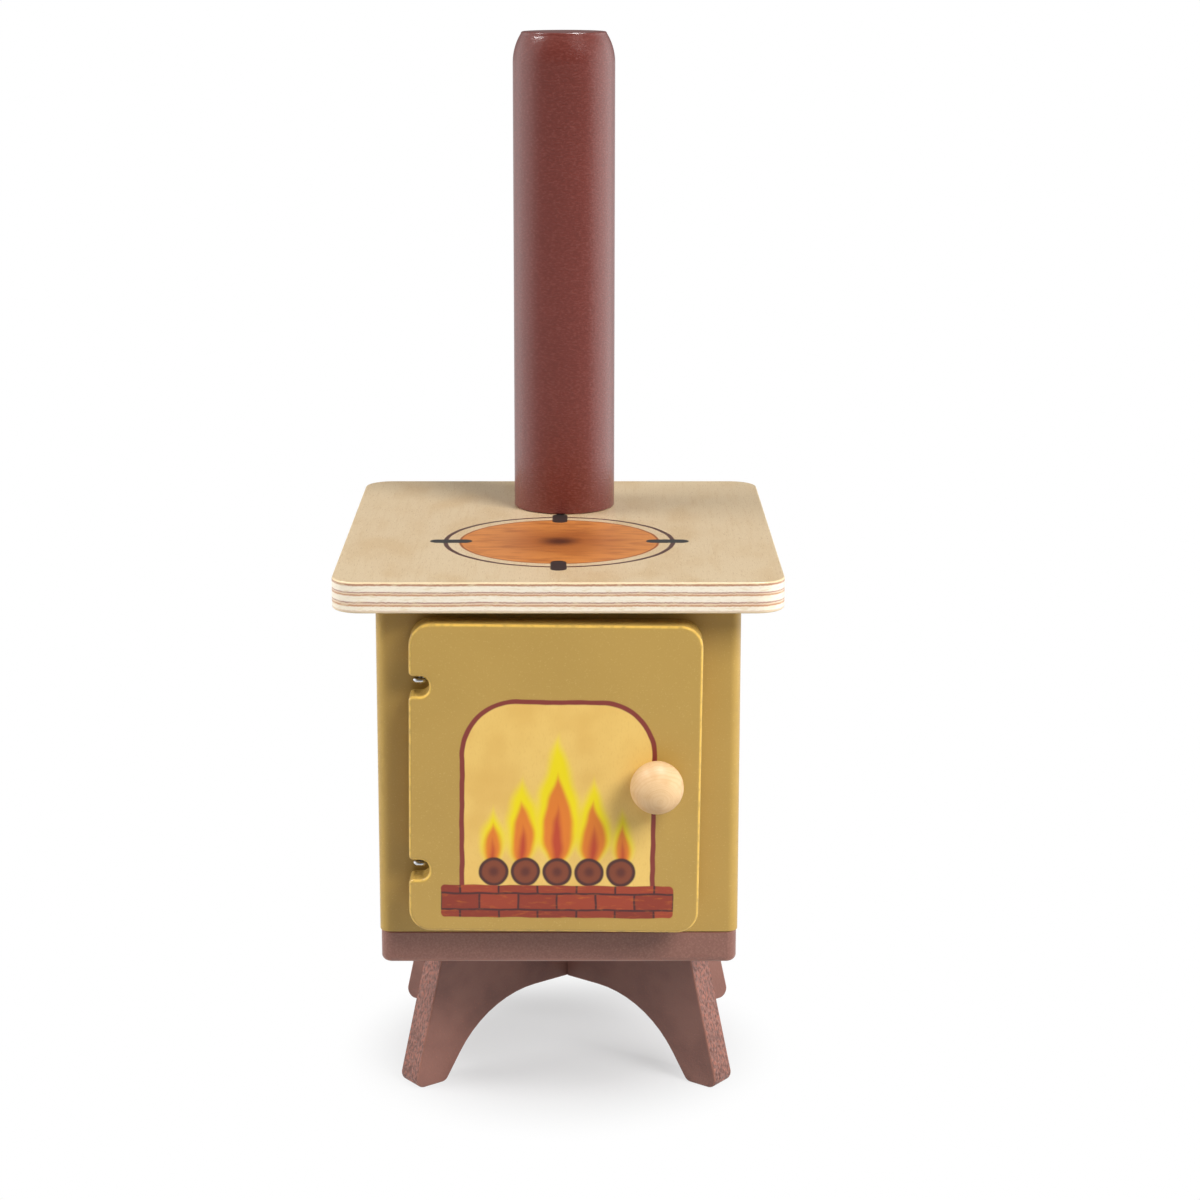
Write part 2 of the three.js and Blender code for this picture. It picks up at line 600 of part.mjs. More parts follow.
const legScrew = screw(LEG_SCREW_RADIUS, LEG_SCREW_HEAD_RADIUS, LEG_SCREW_LENGTH);
LEG_SCREW_PLACES.forEach(([x, y], i) => {
  place(stove, `leg_screw_${i + 1}`, legScrew, STEEL, [x, y, PLINTH_TOP]);
});
const flueScrew = screw(FLUE_SCREW_RADIUS, FLUE_SCREW_HEAD_RADIUS, FLUE_SCREW_LENGTH);
place(stove, "flue_screw", flueScrew, STEEL, [PIPE_X, PIPE_Y, BODY_TOP], Math.PI);

UPRIGHT_DOWEL_PLACES.forEach(([x, y], i) => {
  place(stove, `plate_dowel_${i + 1}`, dowel(), BARE_BEECH, [x, y, BODY_TOP]);
  place(stove, `plinth_dowel_${i + 1}`, dowel(), BARE_BEECH, [x, y, PLINTH_TOP], Math.PI);
});
LEVEL_DOWEL_HEIGHTS.forEach((height, i) => {
  const z = PLINTH_TOP + height;
  place(stove, `left_front_dowel_${i + 1}`, dowel(), BARE_BEECH, [-SIDE_X, -SIDE_DEPTH / 2, z], Math.PI / 2);
  place(stove, `right_front_dowel_${i + 1}`, dowel(), BARE_BEECH, [SIDE_X, -SIDE_DEPTH / 2, z], Math.PI / 2);
  place(stove, `left_back_dowel_${i + 1}`, dowel(), BARE_BEECH, [-SIDE_X, SIDE_DEPTH / 2, z], -Math.PI / 2);
  place(stove, `right_back_dowel_${i + 1}`, dowel(), BARE_BEECH, [SIDE_X, SIDE_DEPTH / 2, z], -Math.PI / 2);
});

// The shut door, which turns about the hinge line.
const door = new THREE.Group();
door.position.set(HINGE_X, HINGE_Y, PLINTH_TOP + DOOR_RISE);
door.rotation.y = DOOR_SAG;
stove.add(door);
place(door, "door_panel", doorPanel(), OLIVE_PAINT, [0, 0, 0]);
const knobSeatY = -DOOR_THICKNESS / 2 - KNOB_SEAT_GAP;
place(door, "door_knob", doorKnob(), BARE_BEECH, [KNOB_X, knobSeatY, KNOB_LEVEL], Math.PI / 2);
const knobScrew = screw(KNOB_SCREW_RADIUS, KNOB_SCREW_HEAD_RADIUS, KNOB_SCREW_LENGTH);
place(door, "knob_screw", knobScrew, STEEL, [KNOB_X, DOOR_THICKNESS / 2, KNOB_LEVEL], -Math.PI / 2);
for (const [end, level] of Object.entries(NOTCH_LEVELS)) {
  const [x, y, z] = hingePoint(level + EYE_RISE);
  place(door, `${end}_hinge_pin`, hingePin(), STEEL, [0, 0, level]);
  place(stove, `${end}_hinge_eye`, hingeEye(), STEEL, [x, y, PLINTH_TOP + z]);
}

// The part's origin is on the floor, below the middle of everything that it holds.
const extent = new THREE.Box3().setFromObject(stove, true);
stove.position.set(0, -(extent.min.y + extent.max.y) / 2, 0);

export default stove;
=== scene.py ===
"""Dollhouse wood stove: a painted firebox on crossed legs, a birch hob plate, a flue pipe and a hinged door.

Shapes are worked out in millimetres, each in its own piece's axes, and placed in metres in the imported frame: +X is to
the viewer's right, the door faces -Y and +Z is up.
"""

import json
import logging
import math
from collections.abc import Callable, Iterable, Sequence
from dataclasses import dataclass, replace
from enum import Enum
from functools import partial

import bpy
from mathutils import Matrix, Vector, noise


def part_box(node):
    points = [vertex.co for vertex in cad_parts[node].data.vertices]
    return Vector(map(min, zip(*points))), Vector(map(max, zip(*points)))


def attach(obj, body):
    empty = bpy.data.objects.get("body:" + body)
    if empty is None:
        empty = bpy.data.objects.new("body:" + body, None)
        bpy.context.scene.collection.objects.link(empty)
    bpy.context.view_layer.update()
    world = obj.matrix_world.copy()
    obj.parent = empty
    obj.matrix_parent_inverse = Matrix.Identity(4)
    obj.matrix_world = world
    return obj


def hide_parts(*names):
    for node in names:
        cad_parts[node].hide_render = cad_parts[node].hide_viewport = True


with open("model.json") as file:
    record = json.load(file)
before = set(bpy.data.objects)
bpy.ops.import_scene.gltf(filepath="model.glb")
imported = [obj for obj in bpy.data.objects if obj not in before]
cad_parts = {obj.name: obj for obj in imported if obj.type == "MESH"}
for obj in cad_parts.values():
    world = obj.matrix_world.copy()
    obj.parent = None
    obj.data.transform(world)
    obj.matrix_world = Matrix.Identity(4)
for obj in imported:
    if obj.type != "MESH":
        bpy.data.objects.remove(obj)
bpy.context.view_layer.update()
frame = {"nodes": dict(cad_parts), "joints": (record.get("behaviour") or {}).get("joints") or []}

LOG = logging.getLogger("stove")
MM = 0.001
ARC_STEP = math.radians(6)
EASE_STEPS = 5
SUPPORT = 0.12  # width of the flat strip that keeps a face flat beside its eased edge
OVERSHOOT = 1.0  # how far a cut goes on past the face that it opens
SHARP_ANGLE = math.radians(38)
BAR_SIDES = 32
Z_TO_Y = Matrix.Rotation(-math.pi / 2, 4, "X")
TEARDROP_WIDEST = 0.385  # the greatest value of sqrt(t) * (1 - t)

# Sockets of the Mix node when it mixes colours
FACTOR, UNDER, OVER, MIXED = 0, 6, 7, 2

Pair = tuple[float, float]
Triple = tuple[float, float, float]
Section = Sequence[Pair]
Socket = bpy.types.NodeSocket
Tree = bpy.types.NodeTree
Mesh = bpy.types.Mesh
Solid = bpy.types.Object
Material = bpy.types.Material


class Body(Enum):
    """The bodies that pieces ride on."""

    STOVE = "stove"
    DOOR = "door"


class Slot(Enum):
    """The record's material slots."""

    BIRCH = "birch_plywood"
    OLIVE = "olive_paint"
    RED_BROWN = "red_brown_paint"
    BROWN = "brown_paint"
    BEECH = "bare_beech"
    STEEL = "steel"


class Facing(Enum):
    """The way that the outer face of a board, or the head of a screw, looks."""

    FRONT = (0, -1, 0)
    BACK = (0, 1, 0)
    LEFT = (-1, 0, 0)
    RIGHT = (1, 0, 0)
    UP = (0, 0, 1)
    DOWN = (0, 0, -1)


@dataclass(frozen=True)
class Finish:
    """A made material, and the slot of the record that it belongs to."""

    material: Material
    slot: Slot


@dataclass
class Extent:
    """The box of one of the frame's nodes, in millimetres."""

    node: str

    def __post_init__(self) -> None:
        """Reads the box, and works out its size, its middle and the middle of its foot."""
        low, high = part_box(self.node)
        self.low, self.high = low / MM, high / MM
        self.size = self.high - self.low
        self.middle = (self.low + self.high) / 2
        self.foot = Vector((self.middle.x, self.middle.y, self.low.z))


def placed(origin: Vector, facing: Facing = Facing.UP, upward: Vector | None = None) -> Matrix:
    """Gives the place of a piece whose own Z axis points the way that it faces.

    Args:
        origin: The piece's own origin in the frame, in millimetres.
        facing: The way that the piece faces.
        upward: The way of its own Y axis, where that isn't plainly up.

    Returns:
        The matrix from the piece's own axes to the frame, in metres.
    """
    outward = Vector(facing.value)
    if upward is None:
        upward = Vector((0, 1, 0)) if outward.z else Vector((0, 0, 1))
    turn = Matrix((upward.cross(outward), upward, outward)).transposed().to_4x4()
    return Matrix.Translation(origin * MM) @ turn


def rounded_outline(corners: Sequence[Triple]) -> list[Vector]:
    """Rounds the corners of an outline.

    Args:
        corners: Each corner as x, y and radius, counter-clockwise.

    Returns:
        The outline's points, with an arc at each corner that has a radius.
    """
    points = []
    for i, (x, y, radius) in enumerate(corners):
        corner = Vector((x, y))
        if radius == 0:
            points.append(corner)
            continue
        back = (Vector(corners[i - 1][:2]) - corner).normalized()
        ahead = (Vector(corners[(i + 1) % len(corners)][:2]) - corner).normalized()
        half = back.angle(ahead) / 2
        centre = corner + (back + ahead).normalized() * (radius / math.sin(half))
        first = corner + back * (radius / math.tan(half)) - centre
        turn = math.copysign(math.pi - 2 * half, ahead.cross(back))
        steps = max(4, round(abs(turn) / ARC_STEP))
        points += [centre + Matrix.Rotation(turn * step / steps, 2) @ first for step in range(steps + 1)]
    return points


def rounded_rectangle(width: float, depth: float, radius: float) -> list[Vector]:
    """Gives the outline of a rectangle about the origin, whose four corners have the same radius."""
    x, y = width / 2, depth / 2
    return rounded_outline([(-x, -y, radius), (x, -y, radius), (x, y, radius), (-x, y, radius)])


def spaced(outline: Sequence[Vector], pitch: float) -> list[Vector]:
    """Adds points along an outline's long stretches.

    Args:
        outline: The outline's points.
        pitch: The widest step from one point to the next.

    Returns:
        The outline with the points added.
    """
    points = []
    for start, end in zip(outline, [*outline[1:], outline[0]]):
        steps = max(1, math.ceil((end - start).length / pitch))
        points += [start.lerp(end, step / steps) for step in range(steps)]
    return points


def grown(outline: Sequence[Vector], distance: float) -> list[Vector]:
    """Moves each point of an outline straight outwards.

    Args:
        outline: The outline's points, counter-clockwise.
        distance: How far outwards, or inwards if it is below 0.

    Returns:
        The moved points.
    """
    points = []
    for i, point in enumerate(outline):
        before = (point - outline[i - 1]).normalized()
        after = (outline[(i + 1) % len(outline)] - point).normalized()
        along = (before + after).normalized()
        points.append(point + Vector((along.y, -along.x)) * (distance / max(0.3, along.dot(after))))
    return points


def easing(radius: float) -> list[Pair]:
    """Gives the quarter round between a face and an edge.

    Args:
        radius: Its radius.

    Returns:
        Pairs of inset from the edge and depth below the face, from the face to the edge.
    """
    turns = [math.pi / 2 * step / EASE_STEPS for step in range(EASE_STEPS + 1)]
    return [(radius * (1 - math.sin(turn)), radius * (1 - math.cos(turn))) for turn in turns]


def edge_section(thickness: float, low: float, high: float, pitch: float = 3.0) -> list[Pair]:
    """Gives the section of a board's edge, from its lower face to its upper one.

    Args:
        thickness: The board's thickness.
        low: Radius of the edge at the lower face.
        high: Radius of the edge at the upper face.
        pitch: The widest step up the flat part of the edge.

    Returns:
        Pairs of inset from the outline and height.
    """
    bottom, top = low + SUPPORT, thickness - high - SUPPORT
    levels = max(1, math.ceil((top - bottom) / pitch))
    return [
        (low + SUPPORT, 0.0),
        *easing(low),
        *((0.0, bottom + (top - bottom) * level / levels) for level in range(levels + 1)),
        *((inset, thickness - depth) for inset, depth in reversed(easing(high))),
        (high + SUPPORT, thickness),
    ]


def skin(rings: Sequence[Sequence[Vector]]) -> Mesh:
    """Joins rings of points into one closed mesh with a face at each end.

    Args:
        rings: Rings of equal length in millimetres, from the bottom up, each counter-clockwise seen from above.

    Returns:
        The mesh in metres.
    """
    count = len(rings[0])
    points = [point * MM for ring in rings for point in ring]
    faces = [tuple(reversed(range(count))), tuple(range(len(points) - count, len(points)))]
    for start in range(0, len(points) - count, count):
        for i in range(count):
            along = (i + 1) % count
            faces.append((start + i, start + along, start + along + count, start + i + count))
    mesh = bpy.data.meshes.new("shape")
    mesh.from_pydata(points, [], faces)
    mesh.validate()
    return mesh


def board(outline: Sequence[Vector], section: Section) -> Mesh:
    """Makes a board whose lower face is at z = 0, from its outline and the section of its edge."""
    return skin([[Vector((p.x, p.y, z)) for p in grown(outline, -inset)] for inset, z in section])


def turned(profile: Section, sides: int, shape: Callable[[float, float, float], float] | None = None) -> Mesh:
    """Makes a shape turned about the Z axis.

    Args:
        profile: Pairs of radius and height, from the bottom up.
        sides: Number of sides round it.
        shape: Gives the true radius from the profile's radius and height and the angle, where it isn't plainly round.

    Returns:
        The mesh.
    """
    turns = [2 * math.pi * side / sides for side in range(sides)]
    rings = []
    for radius, z in profile:
        radii = [shape(radius, z, turn) if shape else radius for turn in turns]
        rings.append([Vector((r * math.cos(t), r * math.sin(t), z)) for r, t in zip(radii, turns)])
    return skin(rings)


def chamfered(radius: float, low: float, high: float, chamfer: float) -> list[Pair]:
    """Gives the profile of a round bar from one height to another, with both ends chamfered."""
    return [(radius - chamfer, low), (radius, low + chamfer), (radius, high - chamfer), (radius - chamfer, high)]


def roughened(mesh: Mesh, depth: float, patch: float, where: Callable[[Vector], bool]) -> None:
    """Sinks parts of a mesh's surface by a random, patchy depth, as coarse end grain does under paint.

    Args:
        mesh: The mesh.
        depth: The deepest sink in millimetres.
        patch: The size of the patches in millimetres.
        where: Tells whether the surface is rough at a point in millimetres.
    """
    normals = [vertex.normal.copy() for vertex in mesh.vertices]
    for vertex, normal in zip(mesh.vertices, normals):
        place = vertex.co / MM
        if where(place):
            sink = 0.5 + 0.5 * noise.fractal(place / patch, 0.6, 2.0, 3)
            vertex.co -= normal * (depth * min(1.0, max(0.0, sink)) * MM)


def tool(mesh: Mesh, place: Matrix) -> Solid:
    """Puts a shape that carve uses, and then removes, at a place in the scene.

    Args:
        mesh: The shape.
        place: Its place in the frame.

    Returns:
        The object.
    """
    cutter = bpy.data.objects.new("tool", mesh)
    bpy.context.scene.collection.objects.link(cutter)
    cutter.matrix_world = place
    return cutter


def carve(mesh: Mesh, place: Matrix, tools: Iterable[Solid], join: bool = False) -> Mesh:
    """Cuts shapes out of a mesh, or joins them to it.

    Args:
        mesh: The mesh.
        place: Its place in the frame.
        tools: The shapes, which are removed.
        join: Whether they are joined to the mesh instead of cut out.

    Returns:
        The new mesh.
    """
    cutters = list(tools)
    blank = tool(mesh, place)
    for cutter in cutters:
        cut = blank.modifiers.new("cut", "BOOLEAN")
        cut.operation = "UNION" if join else "DIFFERENCE"
        cut.solver = "EXACT"
        cut.object = cutter
    bpy.context.view_layer.update()
    result = bpy.data.meshes.new_from_object(blank.evaluated_get(bpy.context.evaluated_depsgraph_get()))
    for used in (blank, *cutters):
        bpy.data.objects.remove(used)
    return result


def bar(radius: float, low: float, high: float, place: Matrix) -> Solid:
    """Gives a plain round bar to cut out, along its own Z axis from one height to another."""
    return tool(turned([(radius, low), (radius, high)], BAR_SIDES), place)


def add_piece(name: str, mesh: Mesh, place: Matrix, finish: Finish, *nodes: str, body: Body = Body.STOVE) -> None:
    """Puts a finished piece in the scene, where it stands for nodes of the frame.

    Args:
        name: The piece's name.
        mesh: Its mesh in its own axes.
        place: Its place in the frame.
        finish: Its finish.
        nodes: The frame's nodes that it replaces.
        body: The body that it rides on.
    """
    mesh.name = name
    mesh.materials.clear()
    mesh.materials.append(finish.material)
    mesh.shade_smooth()
    mesh.set_sharp_from_angle(angle=SHARP_ANGLE)
    piece = bpy.data.objects.new(name, mesh)
    bpy.context.scene.collection.objects.link(piece)
    piece.matrix_world = place
    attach(piece, body.value)
    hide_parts(*nodes)
    LOG.info("%s: %d faces, %s", name, len(mesh.polygons), finish.material.name)


def linear(colour: str) -> tuple[float, float, float, float]:
    """Turns an sRGB hex colour into the linear colour that a shader takes.

    Args:
        colour: The colour as #RRGGBB.

    Returns:
        Red, green, blue and alpha, linear.
    """
    channels = (int(colour[i : i + 2], 16) / 255 for i in (1, 3, 5))
    red, green, blue = (c / 12.92 if c <= 0.04045 else ((c + 0.055) / 1.055) ** 2.4 for c in channels)
    return red, green, blue, 1.0


def add_node(tree: Tree, kind: str, values: dict | None = None, output: int | str = 0) -> Socket | None:
    """Adds a node to a material or a world, with its settings and links.

    Args:
        tree: The node tree.
        kind: The node's type, without the ShaderNode before it.
        values: What each property or input gets, by its name or number: a plain value, a colour as sRGB hex, or an
            output of another node. "stops" holds a colour ramp's stops as pairs of position and colour.
        output: The name or number of the output to give.

    Returns:
        That output, or nothing where the node has none.
    """
    node = tree.nodes.new(f"ShaderNode{kind}")
    for key, value in (values or {}).items():
        if key == "stops":
            ramp = node.color_ramp.elements
            while len(ramp) < len(value):
                ramp.new(1.0)
            for element, (position, colour) in zip(ramp, value):
                element.position = position
                element.color = linear(colour)
        elif isinstance(value, Socket):
            tree.links.new(value, node.inputs[key])
        elif isinstance(key, str) and key in node.bl_rna.properties:
            setattr(node, key, value)
        else:
            node.inputs[key].default_value = linear(value) if isinstance(value, str) else value
    return node.outputs[output] if node.outputs else None


def mottle(place: Socket, patch: float | Triple, detail: float = 2.0) -> Socket:
    """Adds a soft random pattern whose patches have a real size.

    Args:
        place: Places in metres.
        patch: The patches' size in millimetres, one for all ways or one each along X, Y and Z.
        detail: How many finer layers the pattern has.

    Returns:
        The pattern, about 0.5 on average.
    """
    sizes = patch if isinstance(patch, tuple) else (patch, patch, patch)
    spread = {"Scale": tuple(1 / (size * MM) for size in sizes), "Vector": place}
    spread = add_node(place.id_data, "Mapping", spread)
    return add_node(place.id_data, "TexNoise", {"Scale": 1.0, "Detail": detail, "Vector": spread})


def between(value: Socket, low: float, high: float, top: float = 1.0, bottom: float = 0.0) -> Socket:
    """Turns a value into a smooth share.

    Args:
        value: The value.
        low: The value that gives the least share. It may lie above high.
        high: The value that gives the full share.
        top: The full share.
        bottom: The least share.

    Returns:
        The share.
    """
    values = {"interpolation_type": "SMOOTHSTEP", "From Min": low, "From Max": high, "To Min": bottom, "To Max": top}
    return add_node(value.id_data, "MapRange", {**values, "Value": value})


def blended(under: Socket | str, over: Socket | str, share: Socket | float) -> Socket:
    """Lays one colour over another.

    Args:
        under: The colour below, as an output or as sRGB hex.
        over: The colour above, as an output or as sRGB hex.
        share: How much of the colour above shows.

    Returns:
        The mixed colour.
    """
    tree = next(part.id_data for part in (under, over, share) if isinstance(part, Socket))
    return add_node(tree, "Mix", {"data_type": "RGBA", UNDER: under, OVER: over, FACTOR: share}, MIXED)


def dappled(colour: Socket | str, place: Socket, *dapples: tuple) -> Socket:
    """Lays soft random patterns over a colour.

    Args:
        colour: The colour.
        place: Places in metres.
        dapples: Each pattern's colour, patches and detail, and then the pattern's values that give none and all of
            its share, and its full share.

    Returns:
        The uneven colour.
    """
    for tone, patch, detail, low, high, top in dapples:
        colour = blended(colour, tone, between(mottle(place, patch, detail), low, high, top))
    return colour


def new_material(name: str) -> Material:
    """Gives a material with an empty node tree and the given name.

    Args:
        name: The material's name.

    Returns:
        The material.
    """
    material = bpy.data.materials.new(name)
    material.use_nodes = True
    material.node_tree.nodes.clear()
    return material


@dataclass(frozen=True)
class Ground:
    """What every finish starts from: its material, places in metres and how far a face looks along Z."""

    material: Material
    place: Socket
    level: Socket

    @classmethod
    def of(cls, name: str) -> "Ground":
        """Starts a material.

        Args:
            name: The material's name.

        Returns:
            The start of its tree.
        """
        material = new_material(name)
        place = add_node(material.node_tree, "TexCoord", output="Object")
        normal = add_node(material.node_tree, "SeparateXYZ", {"Vector": place.node.outputs["Normal"]}, "Z")
        return cls(material, place, add_node(material.node_tree, "Math", {"operation": "ABSOLUTE", 0: normal}))

    def on_ease(self) -> Socket:
        """Gives the share of a place on a board's rounded edge: 1 in its middle and 0 on the flats.

        Returns:
            The share.
        """
        tree = self.level.id_data
        square = add_node(tree, "Math", {"operation": "MULTIPLY", 0: self.level, 1: self.level})
        rest = add_node(tree, "Math", {"operation": "SUBTRACT", 0: 1.0, 1: square})
        return between(add_node(tree, "Math", {"operation": "MULTIPLY", 0: square, 1: rest}), 0.03, 0.2)

    def surface(self, slot: Slot, colour: Socket, layers: Iterable[tuple[Socket, float]], values: dict) -> Finish:
        """Ends the material with its shader and its fine relief.

        Args:
            slot: The record's slot that it belongs to.
            colour: The base colour.
            layers: The relief's layers, each a pattern and its height in millimetres.
            values: The shader's other values.

        Returns:
            The finish.
        """
        tree = self.material.node_tree
        height = None
        for pattern, rise in layers:
            layer = {"operation": "MULTIPLY_ADD", 0: pattern, 1: rise * MM}
            height = add_node(tree, "Math", layer if height is None else {**layer, 2: height})
        relief = add_node(tree, "Bump", {"Strength": 1.0, "Distance": 1.0, "Height": height})
        shader = add_node(tree, "BsdfPrincipled", {"Base Color": colour, "Normal": relief, **values})
        add_node(tree, "OutputMaterial", {"Surface": shader})
        return Finish(self.material, slot)


@dataclass(frozen=True)
class OiledBirchPlywood:
    """Rotary-cut birch plywood, sanded and oiled: an even tan face with faint clouds and fine fibres along Y.

    The plies run crossways to each other, so that at an edge the long grain shows pale and the end grain shows brown,
    with a dark line of glue beside it.
    """

    pale: str = "#D5BE9A"
    deep: str = "#C6A678"
    light: str = "#E2CEAA"
    fleck: str = "#AC8656"
    shade: str = "#8F6650"
    veneer: str = "#E8D2A8"
    long: str = "#F2E7D3"
    end: str = "#C4946F"
    mixed: str = "#E0C7AC"
    glue: str = "#AE8678"
    scorch: str = "#B7896B"
    roughness: float = 0.36
    # Thickness and colour of each band, from the lower face up
    plies: tuple[tuple[float, str], ...] = (
        (0.35, "veneer"), (0.4, "mixed"), (1.2, "long"), (0.45, "end"), (0.4, "mixed"), (0.25, "glue"),
        (1.8, "long"), (0.4, "end"), (0.3, "mixed"), (0.22, "glue"),
        (1.78, "long"), (0.5, "scorch"), (0.45, "veneer"),
    )
    ply_blur: float = 0.12
    ply_shift: float = 0.4

    def face(self, place: Socket) -> Socket:
        """Gives the colour of the face veneer at places: clouds, streaks, bright fibres and flecks, all along Y.

        Args:
            place: Places in metres.

        Returns:
            The colour.
        """
        return dappled(
            self.pale,
            place,
            (self.deep, (11.0, 24.0, 24.0), 3.0, 0.42, 0.72, 0.55),
            (self.deep, (0.9, 20.0, 20.0), 3.0, 0.5, 0.75, 0.35),
            (self.light, (0.28, 1.8, 1.8), 2.0, 0.58, 0.75, 0.65),
            (self.fleck, (0.22, 2.6, 2.6), 2.0, 0.56, 0.76, 0.6),
        )

    def edge(self, place: Socket) -> Socket:
        """Gives the colour of the plies at the board's edges, slightly uneven in height as cut veneer is.

        Args:
            place: Places in metres.

        Returns:
            The colour.
        """
        tree = place.id_data
        thickness = sum(height for height, _ in self.plies)
        stops, level = [], 0.0
        for height, tone in self.plies:
            for end in (level + self.ply_blur * height, level + (1 - self.ply_blur) * height):
                stops.append((end / thickness, getattr(self, tone)))
            level += height
        lift = add_node(tree, "SeparateXYZ", {"Vector": place}, "Z")
        for patch, height in (((16.0, 16.0, 30.0), 0.5), ((0.9, 0.9, 2.0), 0.3)):
            wave = {"operation": "MULTIPLY_ADD", 0: mottle(place, patch), 1: height * MM, 2: lift}
            lift = add_node(tree, "Math", wave)
        span = {"From Min": self.ply_shift * MM, "From Max": (thickness + self.ply_shift) * MM, "Value": lift}
        stripes = add_node(tree, "ValToRGB", {"stops": stops, "Fac": add_node(tree, "MapRange", span)})
        return dappled(
            stripes,
            place,
            (self.light, (3.0, 3.0, 0.6), 3.0, 0.5, 0.72, 0.6),
            (self.shade, (1.1, 1.1, 0.14), 2.0, 0.55, 0.8, 0.3),
        )

    def make(self, printed: "HobPrint") -> Finish:
        """Makes the finish.

        Args:
            printed: The print on the upper face.

        Returns:
            The finish.
        """
        ground = Ground.of("oiled birch plywood")
        place = ground.place
        wood = blended(self.edge(place), self.face(place), between(ground.level, 0.75, 0.97))
        layers = ((mottle(place, (0.22, 2.0, 0.22), 1.0), 0.016), (mottle(place, (3.0, 9.0, 1.0), 1.0), 0.02))
        values = {"Roughness": self.roughness, "IOR": 1.5}
        return ground.surface(Slot.BIRCH, printed.over(place, wood), layers, values)


def disc(place: Socket, centre: Pair, radius: float, soft: float, top: float = 1.0) -> Socket:
    """Gives the share of a place inside a disc in the XY plane.

    Args:
        place: Places in millimetres.
        centre: The disc's centre.
        radius: Its radius.
        soft: The width over which it fades.
        top: The share in its middle.

    Returns:
        The share.
    """
    away = add_node(place.id_data, "VectorMath", {"operation": "DISTANCE", 0: place, 1: (*centre, 0.0)}, "Value")
    return between(away, radius + soft / 2, radius - soft / 2, top)


def panel(place: Socket, centre: Pair, half: Pair, radius: float, soft: float) -> Socket:
    """Gives the share of a place inside a rectangle with round corners in the XY plane.

    Args:
        place: Places in millimetres.
        centre: The rectangle's centre.
        half: Half its width and half its height.
        radius: Radius of its corners.
        soft: The width over which it fades.

    Returns:
        The share.
    """
    tree, none = place.id_data, (0.0, 0.0, 0.0)
    inner = (half[0] - radius, half[1] - radius, 0.0)
    steps = (("SUBTRACT", (*centre, 0.0)), ("ABSOLUTE", none), ("SUBTRACT", inner), ("MAXIMUM", none))
    for operation, other in steps:
        place = add_node(tree, "VectorMath", {"operation": operation, 0: place, 1: other})
    away = add_node(tree, "VectorMath", {"operation": "LENGTH", 0: place}, "Value")
    return between(away, radius + soft / 2, radius - soft / 2)


def flame(place: Socket, foot: Pair, width: float, height: float, soft: float) -> Socket:
    """Gives the share of a place inside an upright teardrop with a round foot and a pointed tip.

    Args:
        place: Places in millimetres.
        foot: The lowest point.
        width: The greatest width.
        height: The height.
        soft: The width over which it fades.

    Returns:
        The share.
    """
    tree = place.id_data
    x = add_node(tree, "SeparateXYZ", {"Vector": place})
    span = {"From Min": foot[1], "From Max": foot[1] + height, "Value": x.node.outputs["Y"]}
    rise = add_node(tree, "MapRange", span)
    root = add_node(tree, "Math", {"operation": "SQRT", 0: rise})
    drop = add_node(tree, "Math", {"operation": "SUBTRACT", 0: 1.0, 1: rise})
    shape = add_node(tree, "Math", {"operation": "MULTIPLY", 0: root, 1: drop})
    side = add_node(tree, "Math", {"operation": "MULTIPLY", 0: shape, 1: width / 2 / TEARDROP_WIDEST})
    across = add_node(tree, "Math", {"operation": "SUBTRACT", 0: x, 1: foot[0]})
    away = add_node(tree, "Math", {"operation": "ABSOLUTE", 0: across})
    return between(add_node(tree, "Math", {"operation": "SUBTRACT", 0: side, 1: away}), 0.0, soft)


def hand_drawn(place: Socket, origin: Pair, wobble: float, patch: float) -> Socket:
    """Gives places in millimetres from an origin, with the small wobble of a hand-drawn line.

    Args:
        place: Places in metres.
        origin: The drawing's origin in millimetres.
        wobble: How far a line wanders to either side, in millimetres.
        patch: How long a stretch it wanders over, in millimetres.

    Returns:
        The places.
    """
    tree = place.id_data
    scale = {"Location": (-origin[0], -origin[1], 0.0), "Scale": (1 / MM, 1 / MM, 0.0), "Vector": place}
    flat = add_node(tree, "Mapping", scale)
    pattern = add_node(tree, "TexNoise", {"Scale": 1 / patch, "Detail": 1.0, "Vector": flat}, "Color")
    shift = {"operation": "MULTIPLY_ADD", 0: pattern, 1: (2 * wobble, 2 * wobble, 0.0), 2: (-wobble, -wobble, 0.0)}
    return add_node(tree, "VectorMath", {"operation": "ADD", 0: flat, 1: add_node(tree, "VectorMath", shift)})


